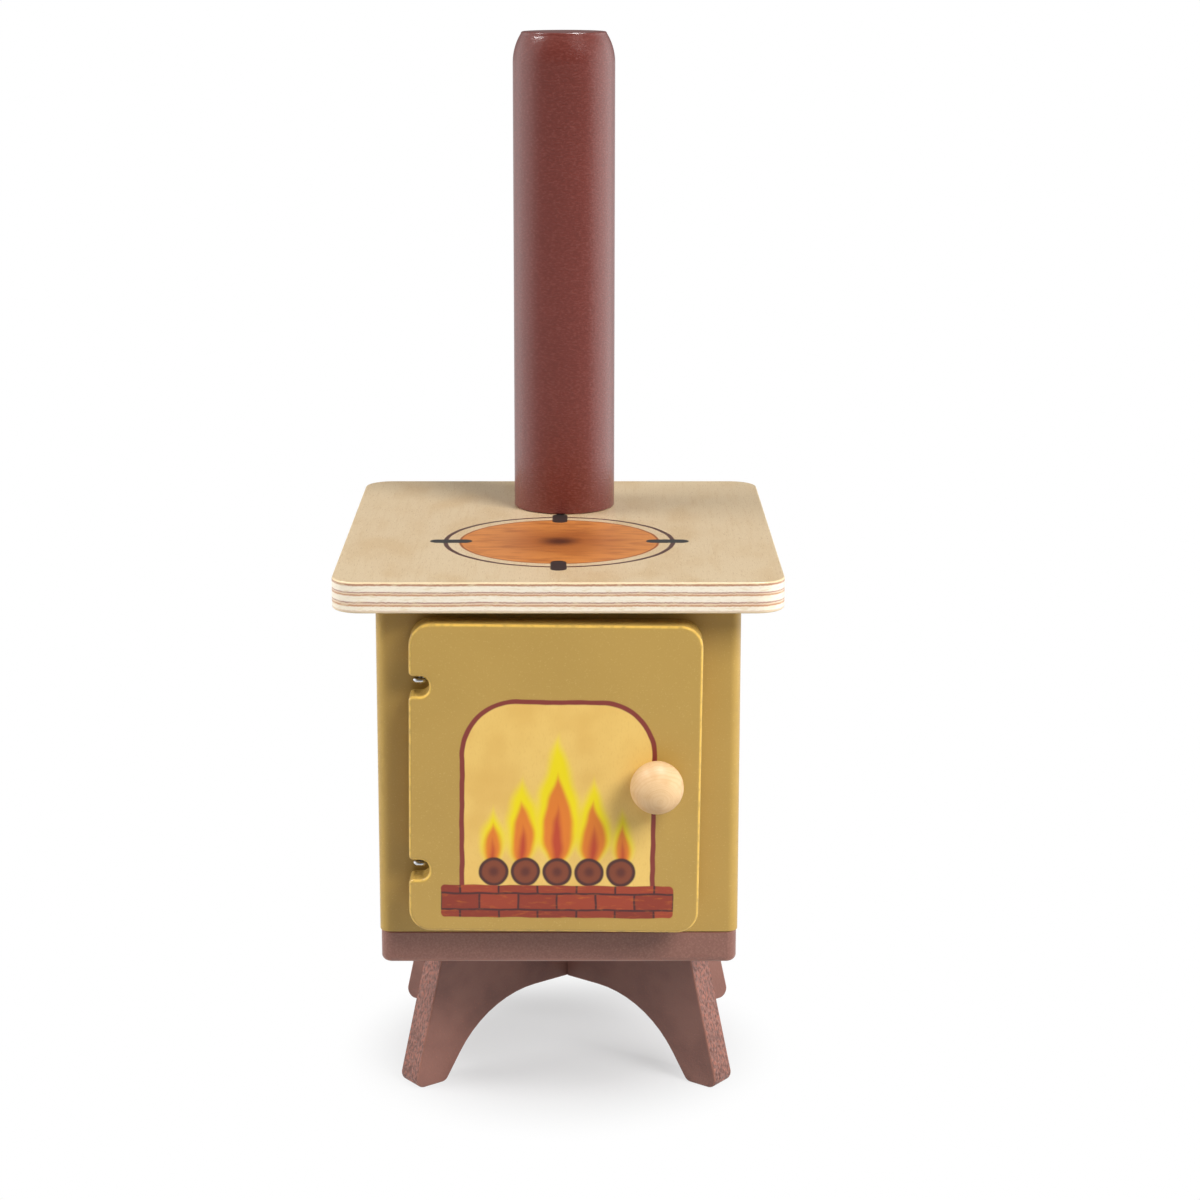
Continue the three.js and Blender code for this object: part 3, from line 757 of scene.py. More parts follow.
@dataclass(frozen=True)
class HobPrint:
    """A round hob printed in wood stain and black ink: a disc in a thin ring, with four plain bars across them.

    The stain lets the grain show, and the ink lies on top of it.
    """

    centre: Pair
    ring_radius: float = 32.0
    ring_width: float = 1.3
    disc_radius: float = 28.2
    rim_width: float = 0.6
    core_radius: float = 9.0
    bar_reach: float = 30.5
    bar_half: Pair = (6.0, 2.2)
    stain: str = "#CE7C30"
    stain_deep: str = "#934C1D"
    core: str = "#4E2612"
    ring: str = "#54342C"
    ink: str = "#2A2927"

    def over(self, places: Socket, wood: Socket) -> Socket:
        """Lays the print over the wood's colour.

        Args:
            places: Places in metres.
            wood: The wood's colour.

        Returns:
            The colour of the printed wood.
        """
        tree = wood.id_data
        place = hand_drawn(places, self.centre, 0.22, 7.0)
        spot = partial(disc, place, (0.0, 0.0))
        radius, edge, core = self.disc_radius, self.ring_width / 2, self.core_radius
        line = {0: spot(self.ring_radius + edge, 0.3), 1: spot(self.ring_radius - edge, 0.3)}
        rim = {0: spot(radius, 0.4), 1: spot(radius - self.rim_width, 0.6)}
        soak = {0: between(mottle(places, (9.0, 3.0, 9.0)), 0.4, 0.75, 0.6), 1: spot(radius - 1, 1.0)}
        colour = wood
        for tone, share in (
            (blended(wood, self.stain, 0.93), spot(radius, 0.5)),
            (self.stain_deep, add_node(tree, "Math", {"operation": "SUBTRACT", **rim})),
            (self.stain_deep, add_node(tree, "Math", {"operation": "MULTIPLY", **soak})),
            (self.stain_deep, spot(radius / 2, radius * 0.8, 0.75)),
            (self.core, spot(core / 2, core * 0.8)),
            (self.ring, add_node(tree, "Math", {"operation": "SUBTRACT", **line})),
        ):
            colour = blended(colour, tone, share)
        folded = add_node(tree, "VectorMath", {"operation": "ABSOLUTE", 0: place})
        reach, across = self.bar_half
        for centre, half in (((self.bar_reach, 0.0), (reach, across)), ((0.0, self.bar_reach), (across, reach))):
            colour = blended(colour, self.ink, panel(folded, centre, half, across, 0.3))
        height = add_node(tree, "SeparateXYZ", {"Vector": places}, "Z")
        return blended(wood, colour, between(height, 7.9 * MM, 8.3 * MM))


@dataclass(frozen=True)
class SatinPaint:
    """Water-based satin paint on sanded birch plywood or hardwood.

    It is even and slightly chalky, with a fine orange peel. Its eased edges get a paler, patchy tone, partly paint
    lying thinly there and partly a painted highlight where the edges catch the light. Over a board's edges the coarse
    end grain stands out under it, its hollows darkened with painted shade and its ridges lightened with painted
    highlight.
    """

    name: str
    slot: Slot
    colour: str
    # Pale tone of the eased edges: partly thinner paint, partly painted highlight
    thin_paint_and_highlight: str
    # Broad clouds, and painted shade in the end grain's hollows
    deep: str
    # Fine specks, and painted highlight on the end grain's ridges
    speck_and_ridge_highlight: str
    roughness: float
    # How strongly the eased edges take their pale tone of thinner paint and painted highlight
    thin_paint_and_highlight_share: float = 1.0
    cloud: float = 24.0
    cloud_share: float = 0.35
    peel: float = 0.75
    peel_height: float = 0.012
    grain_patch: float | Triple = 0.5
    grain_height: float = 0.03
    # How strongly the grain's hollows and ridges take their painted shade and highlight
    grain_shading_share: float = 0.3
    grain_levels: Pair = (0.75, 0.3)

    def coat(self, ground: Ground, grain: Socket, on_edge: Socket) -> Socket:
        """Gives the coat's colour: broad unevenness, fine specks, a paler tone on the eased edges that is partly
        thinner paint and partly painted highlight, and the grain's hollows and ridges painted darker and lighter as
        shade and highlight.

        Args:
            ground: The start of the finish.
            grain: The end grain's pattern.
            on_edge: How far a place is on a board's edge rather than on its face.

        Returns:
            The colour.
        """
        tree = grain.id_data
        cloud = (self.deep, self.cloud, 3.0, 0.35, 0.75, self.cloud_share)
        colour = dappled(self.colour, ground.place, cloud, (self.speck_and_ridge_highlight, 0.45, 1.0, 0.6, 0.78, 0.4))
        # Painted shade and highlight: the grain's hollows are painted darker and its ridges lighter, following the
        # relief
        for tone, low, high in ((self.deep, 0.52, 0.36), (self.speck_and_ridge_highlight, 0.52, 0.68)):
            share = between(grain, low, high, self.grain_shading_share)
            colour = blended(colour, tone, add_node(tree, "Math", {"operation": "MULTIPLY", 0: share, 1: on_edge}))
        # The eased edges' pale tone, partly thinner paint and partly painted highlight, laid in uneven patches
        patchy_thin_paint_and_highlight = between(mottle(ground.place, 2.2, 3.0), 0.2, 0.6, self.thin_paint_and_highlight_share)
        thin_paint_and_highlight = add_node(tree, "Math", {"operation": "MULTIPLY", 0: ground.on_ease(), 1: patchy_thin_paint_and_highlight})
        return blended(colour, self.thin_paint_and_highlight, thin_paint_and_highlight)

    def make(self, picture: "FirePicture | None" = None) -> Finish:
        """Makes the finish, with orange peel everywhere and the grain standing out on the board's edges.

        Args:
            picture: A picture painted over the coat, if there is one.

        Returns:
            The finish.
        """
        ground = Ground.of(self.name)
        grain = mottle(ground.place, self.grain_patch, 1.5)
        on_edge = between(ground.level, *self.grain_levels)
        colour = self.coat(ground, grain, on_edge)
        if picture is not None:
            colour = picture.over(ground.place, colour)
        raised = add_node(grain.id_data, "Math", {"operation": "MULTIPLY", 0: grain, 1: on_edge})
        layers = ((mottle(ground.place, self.peel), self.peel_height), (raised, self.grain_height))
        return ground.surface(self.slot, colour, layers, {"Roughness": self.roughness, "IOR": 1.5})


@dataclass(frozen=True)
class FirePicture:
    """A plain fire in a window over a strip of bricks, painted by airbrush and fine brush in soft-edged layers.

    The flames are regular teardrops, the logs show their round ends, and the hearth is a strip of even bricks.
    """

    middle: float
    sill: float
    front: float
    window_half: Pair = (26.4, 27.2)
    window_corner: float = 15.0
    frame_width: float = 1.3
    hearth_half: Pair = (31.5, 4.6)
    hearth_drop: float = 2.2
    log_radius: float = 4.0
    log_level: float = 6.2
    flame_level: float = 8.0
    frame: str = "#7F332B"
    glow: str = "#E8C26C"
    glow_deep: str = "#DBAF5A"
    yellow: str = "#EBD406"
    orange: str = "#DB7A28"
    red: str = "#B84426"
    bark: str = "#482622"
    wood: str = "#7D3F28"
    heart: str = "#5E2C22"
    brick: str = "#9C3F27"
    brick_deep: str = "#823020"
    mortar: str = "#4A2222"

    def over(self, places: Socket, paint: Socket) -> Socket:
        """Lays the picture over the coat's colour on the front face.

        Args:
            places: Places in metres.
            paint: The coat's colour.

        Returns:
            The colour of the door with its picture.
        """
        origin = (self.middle, self.sill)
        place = hand_drawn(places, origin, 0.3, 6.0)
        cloud = (self.glow_deep, 13.0, 2.0, 0.35, 0.75, 0.8)
        weave = (self.glow_deep, (0.35, 1.2, 1.0), 1.0, 0.5, 0.8, 0.4)
        colour = blended(paint, self.frame, self.window(place, 0.0))
        colour = blended(colour, dappled(self.glow, places, cloud, weave), self.window(place, self.frame_width))
        colour = self.fire(self.mirrored(hand_drawn(places, origin, 1.5, 11.0)), colour)
        colour = self.logs(self.mirrored(place), colour)
        colour = self.hearth(places, place, colour)
        height = add_node(paint.id_data, "SeparateXYZ", {"Vector": places}, "Z")
        return blended(paint, colour, between(height, (self.front - 0.5) * MM, (self.front - 0.1) * MM))

    def window(self, place: Socket, inset: float) -> Socket:
        """Gives the share of a place inside the window: round corners at its head and a straight sill.

        Args:
            place: Places in millimetres.
            inset: How far inside the window's outline.

        Returns:
            The share.
        """
        half_width, half_height = self.window_half
        low, high = -2 * self.window_corner, 2 * half_height - inset
        half = (half_width - inset, (high - low) / 2)
        body = panel(place, (0.0, (high + low) / 2), half, self.window_corner - inset, 0.35)
        height = add_node(place.id_data, "SeparateXYZ", {"Vector": place}, "Y")
        return add_node(place.id_data, "Math", {"operation": "MULTIPLY", 0: body, 1: between(height, 0.0, 0.4)})

    @staticmethod
    def mirrored(place: Socket) -> Socket:
        """Gives places folded left over right, so that both sides of the picture are alike.

        Args:
            place: Places in millimetres.

        Returns:
            The folded places.
        """
        x = add_node(place.id_data, "SeparateXYZ", {"Vector": place})
        side = add_node(place.id_data, "Math", {"operation": "ABSOLUTE", 0: x})
        return add_node(place.id_data, "CombineXYZ", {"X": side, "Y": x.node.outputs["Y"]})

    def fire(self, place: Socket, colour: Socket) -> Socket:
        """Lays the flames over the window: a tall one in the middle and two on each side.

        Args:
            place: Places in millimetres, mirrored.
            colour: The colour below.

        Returns:
            The colour with the flames.
        """
        feet = ((0.0, 15.0, 38.0), (9.5, 12.0, 27.0), (17.5, 9.0, 18.0))
        layers = ((self.yellow, 1.0, 1.0, 3.2), (self.orange, 0.66, 0.72, 1.8), (self.red, 0.34, 0.48, 2.0))
        for tone, wide, tall, soft in layers:
            for x, width, height in feet:
                drop = flame(place, (x, self.flame_level), width * wide, height * tall, soft)
                colour = blended(colour, tone, drop)
        return colour

    def logs(self, place: Socket, colour: Socket) -> Socket:
        """Lays a row of log ends over the foot of the flames.

        Args:
            place: Places in millimetres, mirrored.
            colour: The colour below.

        Returns:
            The colour with the logs.
        """
        spread = 2.15 * self.log_radius
        layers = ((self.bark, 1.0, 0.5), (self.wood, 0.78, 0.6), (self.heart, 0.3, 1.6))
        for x in (0.0, spread, 2 * spread):
            for tone, share, soft in layers:
                colour = blended(colour, tone, disc(place, (x, self.log_level), self.log_radius * share, soft))
        return colour

    def hearth(self, places: Socket, place: Socket, colour: Socket) -> Socket:
        """Lays the strip of bricks across the foot of the window, in a dry brush that leaves them uneven.

        Args:
            places: Places in metres.
            place: The same places in millimetres, drawn by hand.
            colour: The colour below.

        Returns:
            The colour with the bricks.
        """
        tones = {"Color1": self.brick, "Color2": self.brick_deep, "Mortar": self.mortar}
        sizes = {"Mortar Size": 0.4, "Mortar Smooth": 0.6, "Brick Width": 10.5, "Row Height": self.hearth_half[1]}
        bricks = add_node(place.id_data, "TexBrick", {**tones, "Scale": 1.0, **sizes, "Vector": place})
        face = dappled(bricks, places, (self.orange, (3.0, 0.8, 1.0), 3.0, 0.52, 0.8, 0.3))
        return blended(colour, face, panel(place, (0.0, -self.hearth_drop), self.hearth_half, 1.2, 0.35))


@dataclass(frozen=True)
class SandedBeech:
    """Beech or birch turned on a lathe, sanded and left bare: growth rings on its end grain, and fine dark pores."""

    pale: str = "#E2BE8F"
    deep: str = "#D4A672"
    pore: str = "#B0804F"
    heart: Pair = (0.65, -2.0)
    ring_spacing: float = 0.45
    roughness: float = 0.5

    def make(self) -> Finish:
        """Makes the finish, with its rings about a line along Z.

        Returns:
            The finish.
        """
        ground = Ground.of("sanded beech")
        place = hand_drawn(ground.place, self.heart, 0.5, 4.0)
        away = add_node(place.id_data, "VectorMath", {"operation": "LENGTH", 0: place}, "Value")
        grain = {"noise_dimensions": "1D", "Scale": 1 / self.ring_spacing, "Detail": 2.0, "W": away}
        rings = add_node(place.id_data, "TexNoise", grain)
        pores = mottle(ground.place, (0.2, 0.2, 1.2), 1.0)
        colour = blended(self.pale, self.deep, between(rings, 0.42, 0.66, 0.35))
        colour = dappled(colour, ground.place, (self.deep, (3.0, 3.0, 8.0), 2.0, 0.4, 0.75, 0.5))
        colour = blended(colour, self.pore, between(pores, 0.62, 0.8, 0.35))
        layers = ((pores, 0.01), (rings, 0.004))
        return ground.surface(Slot.BEECH, colour, layers, {"Roughness": self.roughness, "IOR": 1.5})


@dataclass(frozen=True)
class ZincPlatedSteel:
    """Drawn steel wire and cold-headed screws with bright zinc plate: cold, shiny and faintly scratched."""

    colour: str = "#C9CBCE"
    dull: str = "#A6A8AB"

    def make(self) -> Finish:
        """Makes the finish.

        Returns:
            The finish.
        """
        ground = Ground.of("zinc-plated steel")
        haze = mottle(ground.place, 1.2, 3.0)
        colour = blended(self.colour, self.dull, between(haze, 0.4, 0.7, 0.7))
        roughness = add_node(haze.id_data, "MapRange", {"To Min": 0.16, "To Max": 0.34, "Value": haze})
        scratches = mottle(ground.place, (0.08, 0.08, 1.5), 1.0)
        return ground.surface(Slot.STEEL, colour, [(scratches, 0.002)], {"Roughness": roughness, "Metallic": 1.0})


# Each paint's second colour is its eased edges' tone, partly thinner paint and partly painted highlight
OLIVE = SatinPaint("olive satin paint", Slot.OLIVE, "#B5934B", "#DEB556", "#A98842", "#C9AA65", 0.4)
# The case's edges are covered as well as its faces, so their pale tone of thinner paint and painted highlight is faint
CASE_OLIVE = replace(OLIVE, name="olive satin paint on the case", thin_paint_and_highlight_share=0.1)
BROWN = SatinPaint(
    "brown satin paint", Slot.BROWN, "#8B6054", "#A06650", "#734D42", "#A2786A", 0.36,
    thin_paint_and_highlight_share=0.6, grain_shading_share=0.25,
)
# The leg boards' ends are sawn and hardly sanded, so that the end grain stands out in coarse blotches, painted darker
# in its hollows as shade and lighter on its ridges as highlight
COARSE_BROWN = replace(
    BROWN,
    name="brown satin paint on coarse end grain",
    thin_paint_and_highlight="#A26F5E",
    speck_and_ridge_highlight="#A96552",
    deep="#502C24",
    roughness=0.42,
    cloud=12.0,
    peel=0.8,
    peel_height=0.08,
    grain_patch=(0.8, 1.2, 0.6),
    grain_height=0.08,
    grain_shading_share=0.65,
)
# The flue's fine ripples run round it, as the turning left them; their hollows are painted darker as shade and their
# ridges lighter as highlight
RED_BROWN = SatinPaint(
    "red-brown satin paint", Slot.RED_BROWN, "#692E27", "#7C443A", "#5C271F", "#774039", 0.28,
    thin_paint_and_highlight_share=0.15, peel=0.7, peel_height=0.016,
    grain_patch=(1.0, 1.0, 0.45), grain_height=0.065, grain_shading_share=0.5, grain_levels=(1.0, 0.85),
)


@dataclass
class WoodScrew:
    """A countersunk wood screw with a cross in its head, which stands for one node."""

    node: str
    finish: Finish
    radius: float
    facing: Facing
    body: Body = Body.STOVE
    clearance: float = 0.3
    pitch: float = 1.1
    core_share: float = 0.72
    thread_share: float = 0.7
    runout: float = 0.4
    rim_height: float = 0.12
    rim_ease: float = 0.08
    recess_half_width: float = 0.4
    recess_depth: float = 1.2
    recess_taper: float = 0.15
    sides: int = 24
    levels_per_turn: int = 8

    def __post_init__(self) -> None:
        """Reads the screw's length, head and place from its node."""
        extent, outward = Extent(self.node), Vector(self.facing.value)
        size = extent.size
        self.length = abs(size.dot(outward))
        self.thread_top = -self.length * (1 - self.thread_share)
        self.head_radius = max(size.x, size.z if self.facing is Facing.BACK else size.y) / 2
        self.place = placed(extent.middle + outward * (self.length / 2), self.facing)

    def threaded(self, radius: float, z: float, turn: float) -> float:
        """Gives the screw's radius: the thread's up to its top, and the plain radius above it.

        Args:
            radius: The plain radius.
            z: The height, which is below 0.
            turn: The angle round the screw.

        Returns:
            The radius.
        """
        if z > self.thread_top + self.runout / 2:
            return radius
        core = self.core_share * radius
        phase = (z / self.pitch - turn / (2 * math.pi)) % 1.0
        crest = core + (radius - core) * max(0.0, 1 - 3 * abs(phase - 0.5))
        point = (z + self.length) / (3 * radius)
        return crest * min(1.0, 0.06 + point)

    def recess(self) -> Solid:
        """Gives the cross to cut into the head, narrower at its foot.

        Returns:
            The cutting shape.
        """
        arm, half = self.head_radius / 2, self.recess_half_width
        quarter = [Vector((arm, -half)), Vector((arm, half)), Vector((half, half))]
        outline = [Matrix.Rotation(math.pi / 2 * side, 2) @ point for side in range(4) for point in quarter]
        section = ((self.recess_taper, -self.recess_depth), (0.0, 0.0), (0.0, OVERSHOOT))
        return tool(board(outline, section), self.place)

    def hole(self) -> Solid:
        """Gives the shape to cut for the screw and its head, open above the head.

        Returns:
            The cutting shape.
        """
        shank, head = self.radius + self.clearance, self.head_radius + self.clearance
        foot, cone = -self.length - self.clearance, self.radius - self.head_radius
        return tool(turned([(shank, foot), (shank, cone), (head, 0.0), (head, OVERSHOOT)], BAR_SIDES), self.place)

    def build(self) -> None:
        """Adds the screw, whose head's face is at its own z = 0."""
        radius, head, span = self.radius, self.head_radius, self.length + self.thread_top
        levels = math.ceil(span / (self.pitch / self.levels_per_turn))
        profile = [
            *((radius, -self.length + span * level / levels) for level in range(levels + 1)),
            (radius, self.thread_top + self.runout),
            (radius, radius - head),
            (head, -self.rim_height),
            (head - self.rim_ease, 0.0),
        ]
        mesh = carve(turned(profile, self.sides, self.threaded), self.place, [self.recess()])
        add_piece(f"{self.node}_threaded", mesh, self.place, self.finish, self.node, body=self.body)


@dataclass
class FlutedDowel:
    """A glued beech dowel pin with pressed flutes and chamfered ends, which stands for one node."""

    node: str
    finish: Finish
    clearance: float = 0.25
    flutes: int = 14
    flute_depth: float = 0.16
    chamfer: float = 0.6
    sides: int = 84

    def __post_init__(self) -> None:
        """Reads the dowel's radius, half its length and its place from its node."""
        extent = Extent(self.node)
        longest = max(range(3), key=lambda axis: extent.size[axis])
        self.radius, self.reach = min(extent.size) / 2, extent.size[longest] / 2
        self.place = placed(extent.middle, (Facing.RIGHT, Facing.BACK, Facing.UP)[longest])

    def fluted(self, radius: float, z: float, turn: float) -> float:
        """Gives the dowel's radius at an angle, which is the same at every height."""
        return radius - self.flute_depth * (0.5 + 0.5 * math.cos(self.flutes * turn)) ** 3

    def hole(self) -> Solid:
        """Gives the shape to cut for the dowel, larger all round and at both ends."""
        reach = self.reach + self.clearance
        return bar(self.radius + self.clearance, -reach, reach, self.place)

    def build(self) -> None:
        """Adds the dowel."""
        mesh = turned(chamfered(self.radius, -self.reach, self.reach, self.chamfer), self.sides, self.fluted)
        add_piece(f"{self.node}_fluted", mesh, self.place, self.finish, self.node)


@dataclass
class Joinery:
    """The dowels and screws that hold the stove together, and the finishes of its turned wood and its metal."""

    beech: Finish
    steel: Finish
    leg_screw_radius: float = 1.75
    flue_screw_radius: float = 2.0
    knob_screw_radius: float = 1.5

    def __post_init__(self) -> None:
        """Finds the dowels and screws among the frame's nodes."""
        nodes = sorted(frame["nodes"])
        legs = [node for node in nodes if node.startswith("leg_screw")]
        self.dowels = [FlutedDowel(node, self.beech) for node in nodes if "dowel" in node]
        self.leg_screws = [WoodScrew(node, self.steel, self.leg_screw_radius, Facing.UP) for node in legs]
        self.flue_screw = WoodScrew("flue_screw", self.steel, self.flue_screw_radius, Facing.DOWN)
        self.knob_screw = WoodScrew("knob_screw", self.steel, self.knob_screw_radius, Facing.BACK, Body.DOOR)

    def dowel_holes(self, *words: str) -> list[Solid]:
        """Gives the holes for the dowels whose names hold one of the words."""
        return [dowel.hole() for dowel in self.dowels if any(word in dowel.node for word in words)]

    def build(self) -> None:
        """Adds all the dowels and screws."""
        for fastener in (*self.dowels, *self.leg_screws, self.flue_screw, self.knob_screw):
            fastener.build()


@dataclass
class HobPlate:
    """The birch plate on top, with the printed hob."""

    joinery: Joinery
    corner_radius: float = 8.0
    ease: float = 0.5
    hob_from_front: float = 50.3
    edge_pitch: float = 0.4
    pitch: float = 2.0

    def build(self) -> None:
        """Adds the plate."""
        extent = Extent("top_plate")
        size, place = extent.size, placed(extent.foot)
        outline = spaced(rounded_rectangle(size.x, size.y, self.corner_radius), self.pitch)
        blank = board(outline, edge_section(size.z, self.ease, self.ease, self.edge_pitch))
        mesh = carve(blank, place, [*self.joinery.dowel_holes("plate"), self.joinery.flue_screw.hole()])
        birch = OiledBirchPlywood().make(HobPrint((0.0, self.hob_from_front - size.y / 2)))
        add_piece("hob_plate", mesh, place, birch, "top_plate")


@dataclass
class FluePipe:
    """The turned and painted flue pipe, with a round shoulder under its flat top."""

    joinery: Joinery
    shoulder_radius: float = 16.0
    shoulder_height: float = 9.0
    shoulder_steps: int = 14
    rim_ease: float = 0.6
    foot_ease: float = 0.4
    sides: int = 128

    def profile(self, radius: float, height: float) -> list[Pair]:
        """Gives the pipe's profile.

        Args:
            radius: The pipe's radius.
            height: The pipe's height.

        Returns:
            Pairs of radius and height, from the foot up.
        """
        foot, bend = height - self.shoulder_height, self.shoulder_radius
        arc = math.asin((self.shoulder_height - self.rim_ease) / bend)
        turns = [arc * step / self.shoulder_steps for step in range(self.shoulder_steps + 1)]
        shoulder = [(radius - bend * (1 - math.cos(turn)), foot + bend * math.sin(turn)) for turn in turns]
        rim = shoulder[-1][0]
        return [
            (radius - self.foot_ease - SUPPORT, 0.0),
            (radius - self.foot_ease, 0.0),
            (radius, self.foot_ease),
            (radius, self.foot_ease + SUPPORT),
            *shoulder,
            *((rim - inset, height - depth) for inset, depth in reversed(easing(self.rim_ease)[:-1])),
            (rim - self.rim_ease - SUPPORT, height),
        ]

    def build(self) -> None:
        """Adds the pipe."""
        extent = Extent("flue_pipe")
        place = placed(extent.foot)
        blank = turned(self.profile(extent.size.x / 2, extent.size.z), self.sides)
        mesh = carve(blank, place, [self.joinery.flue_screw.hole()])
        add_piece("flue", mesh, place, RED_BROWN.make(), "flue_pipe")


@dataclass
class Firebox:
    """The painted case behind the door: a front with its opening, a back and two sides."""

    joinery: Joinery
    edge_radius: float = 3.0
    ease: float = 0.3
    seam: float = 0.15
    opening_side_lap: float = 7.8
    opening_sill_lap: float = 7.5
    opening_head_lap: float = 9.5
    opening_radius: float = 4.0
    opening_ease: float = 0.8
    wire_fit: float = 0.25

    def end_blank(self, size: Vector) -> Mesh:
        """Makes the front or the back before its holes, in upright axes with its inner face at z = 0.

        Args:
            size: The board's width, thickness and height.

        Returns:
            The mesh.
        """
        x, y, radius = size.x / 2, -size.y, self.edge_radius
        plan = rounded_outline([(-x, y, radius), (x, y, radius), (x, 0.0, 0.0), (-x, 0.0, 0.0)])
        mesh = board(plan, edge_section(size.z, self.ease, self.ease))
        # The plan's Z runs up the board and its -Y runs out of the board's face
        mesh.transform(Matrix(((1, 0, 0, 0), (0, 0, 1, 0), (0, -1, 0, 0), (0, 0, 0, 1))))
        return mesh

    def opening(self, place: Matrix, extent: Extent) -> Solid:
        """Gives the firebox opening to cut, wider at both faces so that its edges are eased.

        Args:
            place: The front's place.
            extent: The front's box.

        Returns:
            The cutting shape.
        """
        door, thickness, ease = Door(self.joinery), extent.size.y, self.opening_ease
        left = door.width_start + self.opening_side_lap + door.origin.x
        right = door.width_end - self.opening_side_lap + door.origin.x
        foot = door.origin.z + self.opening_sill_lap - extent.low.z
        head = door.origin.z + door.height - self.opening_head_lap - extent.low.z
        section = [
            (-ease, -OVERSHOOT),
            *((-inset, depth) for inset, depth in easing(ease)),
            *((-inset, thickness - depth) for inset, depth in reversed(easing(ease))),
            (-ease, thickness + OVERSHOOT),
        ]
        mesh = board(rounded_rectangle(right - left, head - foot, self.opening_radius), section)
        mesh.transform(Matrix.Translation(Vector(((left + right) / 2, (foot + head) / 2, 0.0)) * MM))
        return tool(mesh, place)

    def eye_hole(self, node: str) -> Solid:
        """Gives the hole in the front for a hinge eye's shank.

        Args:
            node: The eye's node.

        Returns:
            The cutting shape.
        """
        extent = Extent(node)
        reach = extent.size.y / 2 + self.wire_fit
        return bar(extent.size.z / 2 + self.wire_fit, -reach, reach, placed(extent.middle, Facing.BACK))

    def build(self) -> None:
        """Adds the four boards."""
        paint = CASE_OLIVE.make()
        for end, node, facing in (("front", "front_frame", Facing.FRONT), ("back", "back_panel", Facing.BACK)):
            extent = Extent(node)
            inner = extent.high.y if facing is Facing.FRONT else extent.low.y
            place = placed(Vector((0.0, inner, extent.low.z)), facing)
            tools = self.joinery.dowel_holes(f"left_{end}", f"right_{end}")
            if facing is Facing.FRONT:
                eyes = [self.eye_hole("upper_hinge_eye"), self.eye_hole("lower_hinge_eye")]
                tools = [self.opening(place, extent), *tools, *eyes]
            add_piece(f"firebox_{end}", carve(self.end_blank(extent.size), place, tools), place, paint, node)

        for side, facing in (("left", Facing.LEFT), ("right", Facing.RIGHT)):
            extent = Extent(f"{side}_side_panel")
            inner, size = extent.high.x if facing is Facing.LEFT else extent.low.x, extent.size
            place = placed(Vector((inner, extent.middle.y, extent.middle.z)), facing)
            blank = board(rounded_rectangle(size.y, size.z, 0.0), edge_section(size.x, self.seam, self.seam))
            tools = self.joinery.dowel_holes(f"{side}_front", f"{side}_back", "plate", "plinth")
            add_piece(f"firebox_{side}", carve(blank, place, tools), place, paint, extent.node)


@dataclass
class Plinth:
    """The brown board under the firebox, with a well rounded lower edge."""

    joinery: Joinery
    corner_radius: float = 3.0
    top_ease: float = 0.6
    bottom_ease: float = 1.8
    pitch: float = 0.6
    rough_depth: float = 0.03
    rough_patch: float = 0.7

    def build(self) -> None:
        """Adds the plinth."""
        extent = Extent("plinth_board")
        size, place = extent.size, placed(extent.foot)
        outline = spaced(rounded_rectangle(size.x, size.y, self.corner_radius), self.pitch)
        blank = board(outline, edge_section(size.z, self.bottom_ease, self.top_ease, self.pitch))
        top = size.z - self.top_ease
        roughened(blank, self.rough_depth, self.rough_patch, lambda point: self.bottom_ease < point.z < top)
        tools = [*self.joinery.dowel_holes("plinth"), *(screw.hole() for screw in self.joinery.leg_screws)]
        add_piece("plinth", carve(blank, place, tools), place, BROWN.make(), "plinth_board")


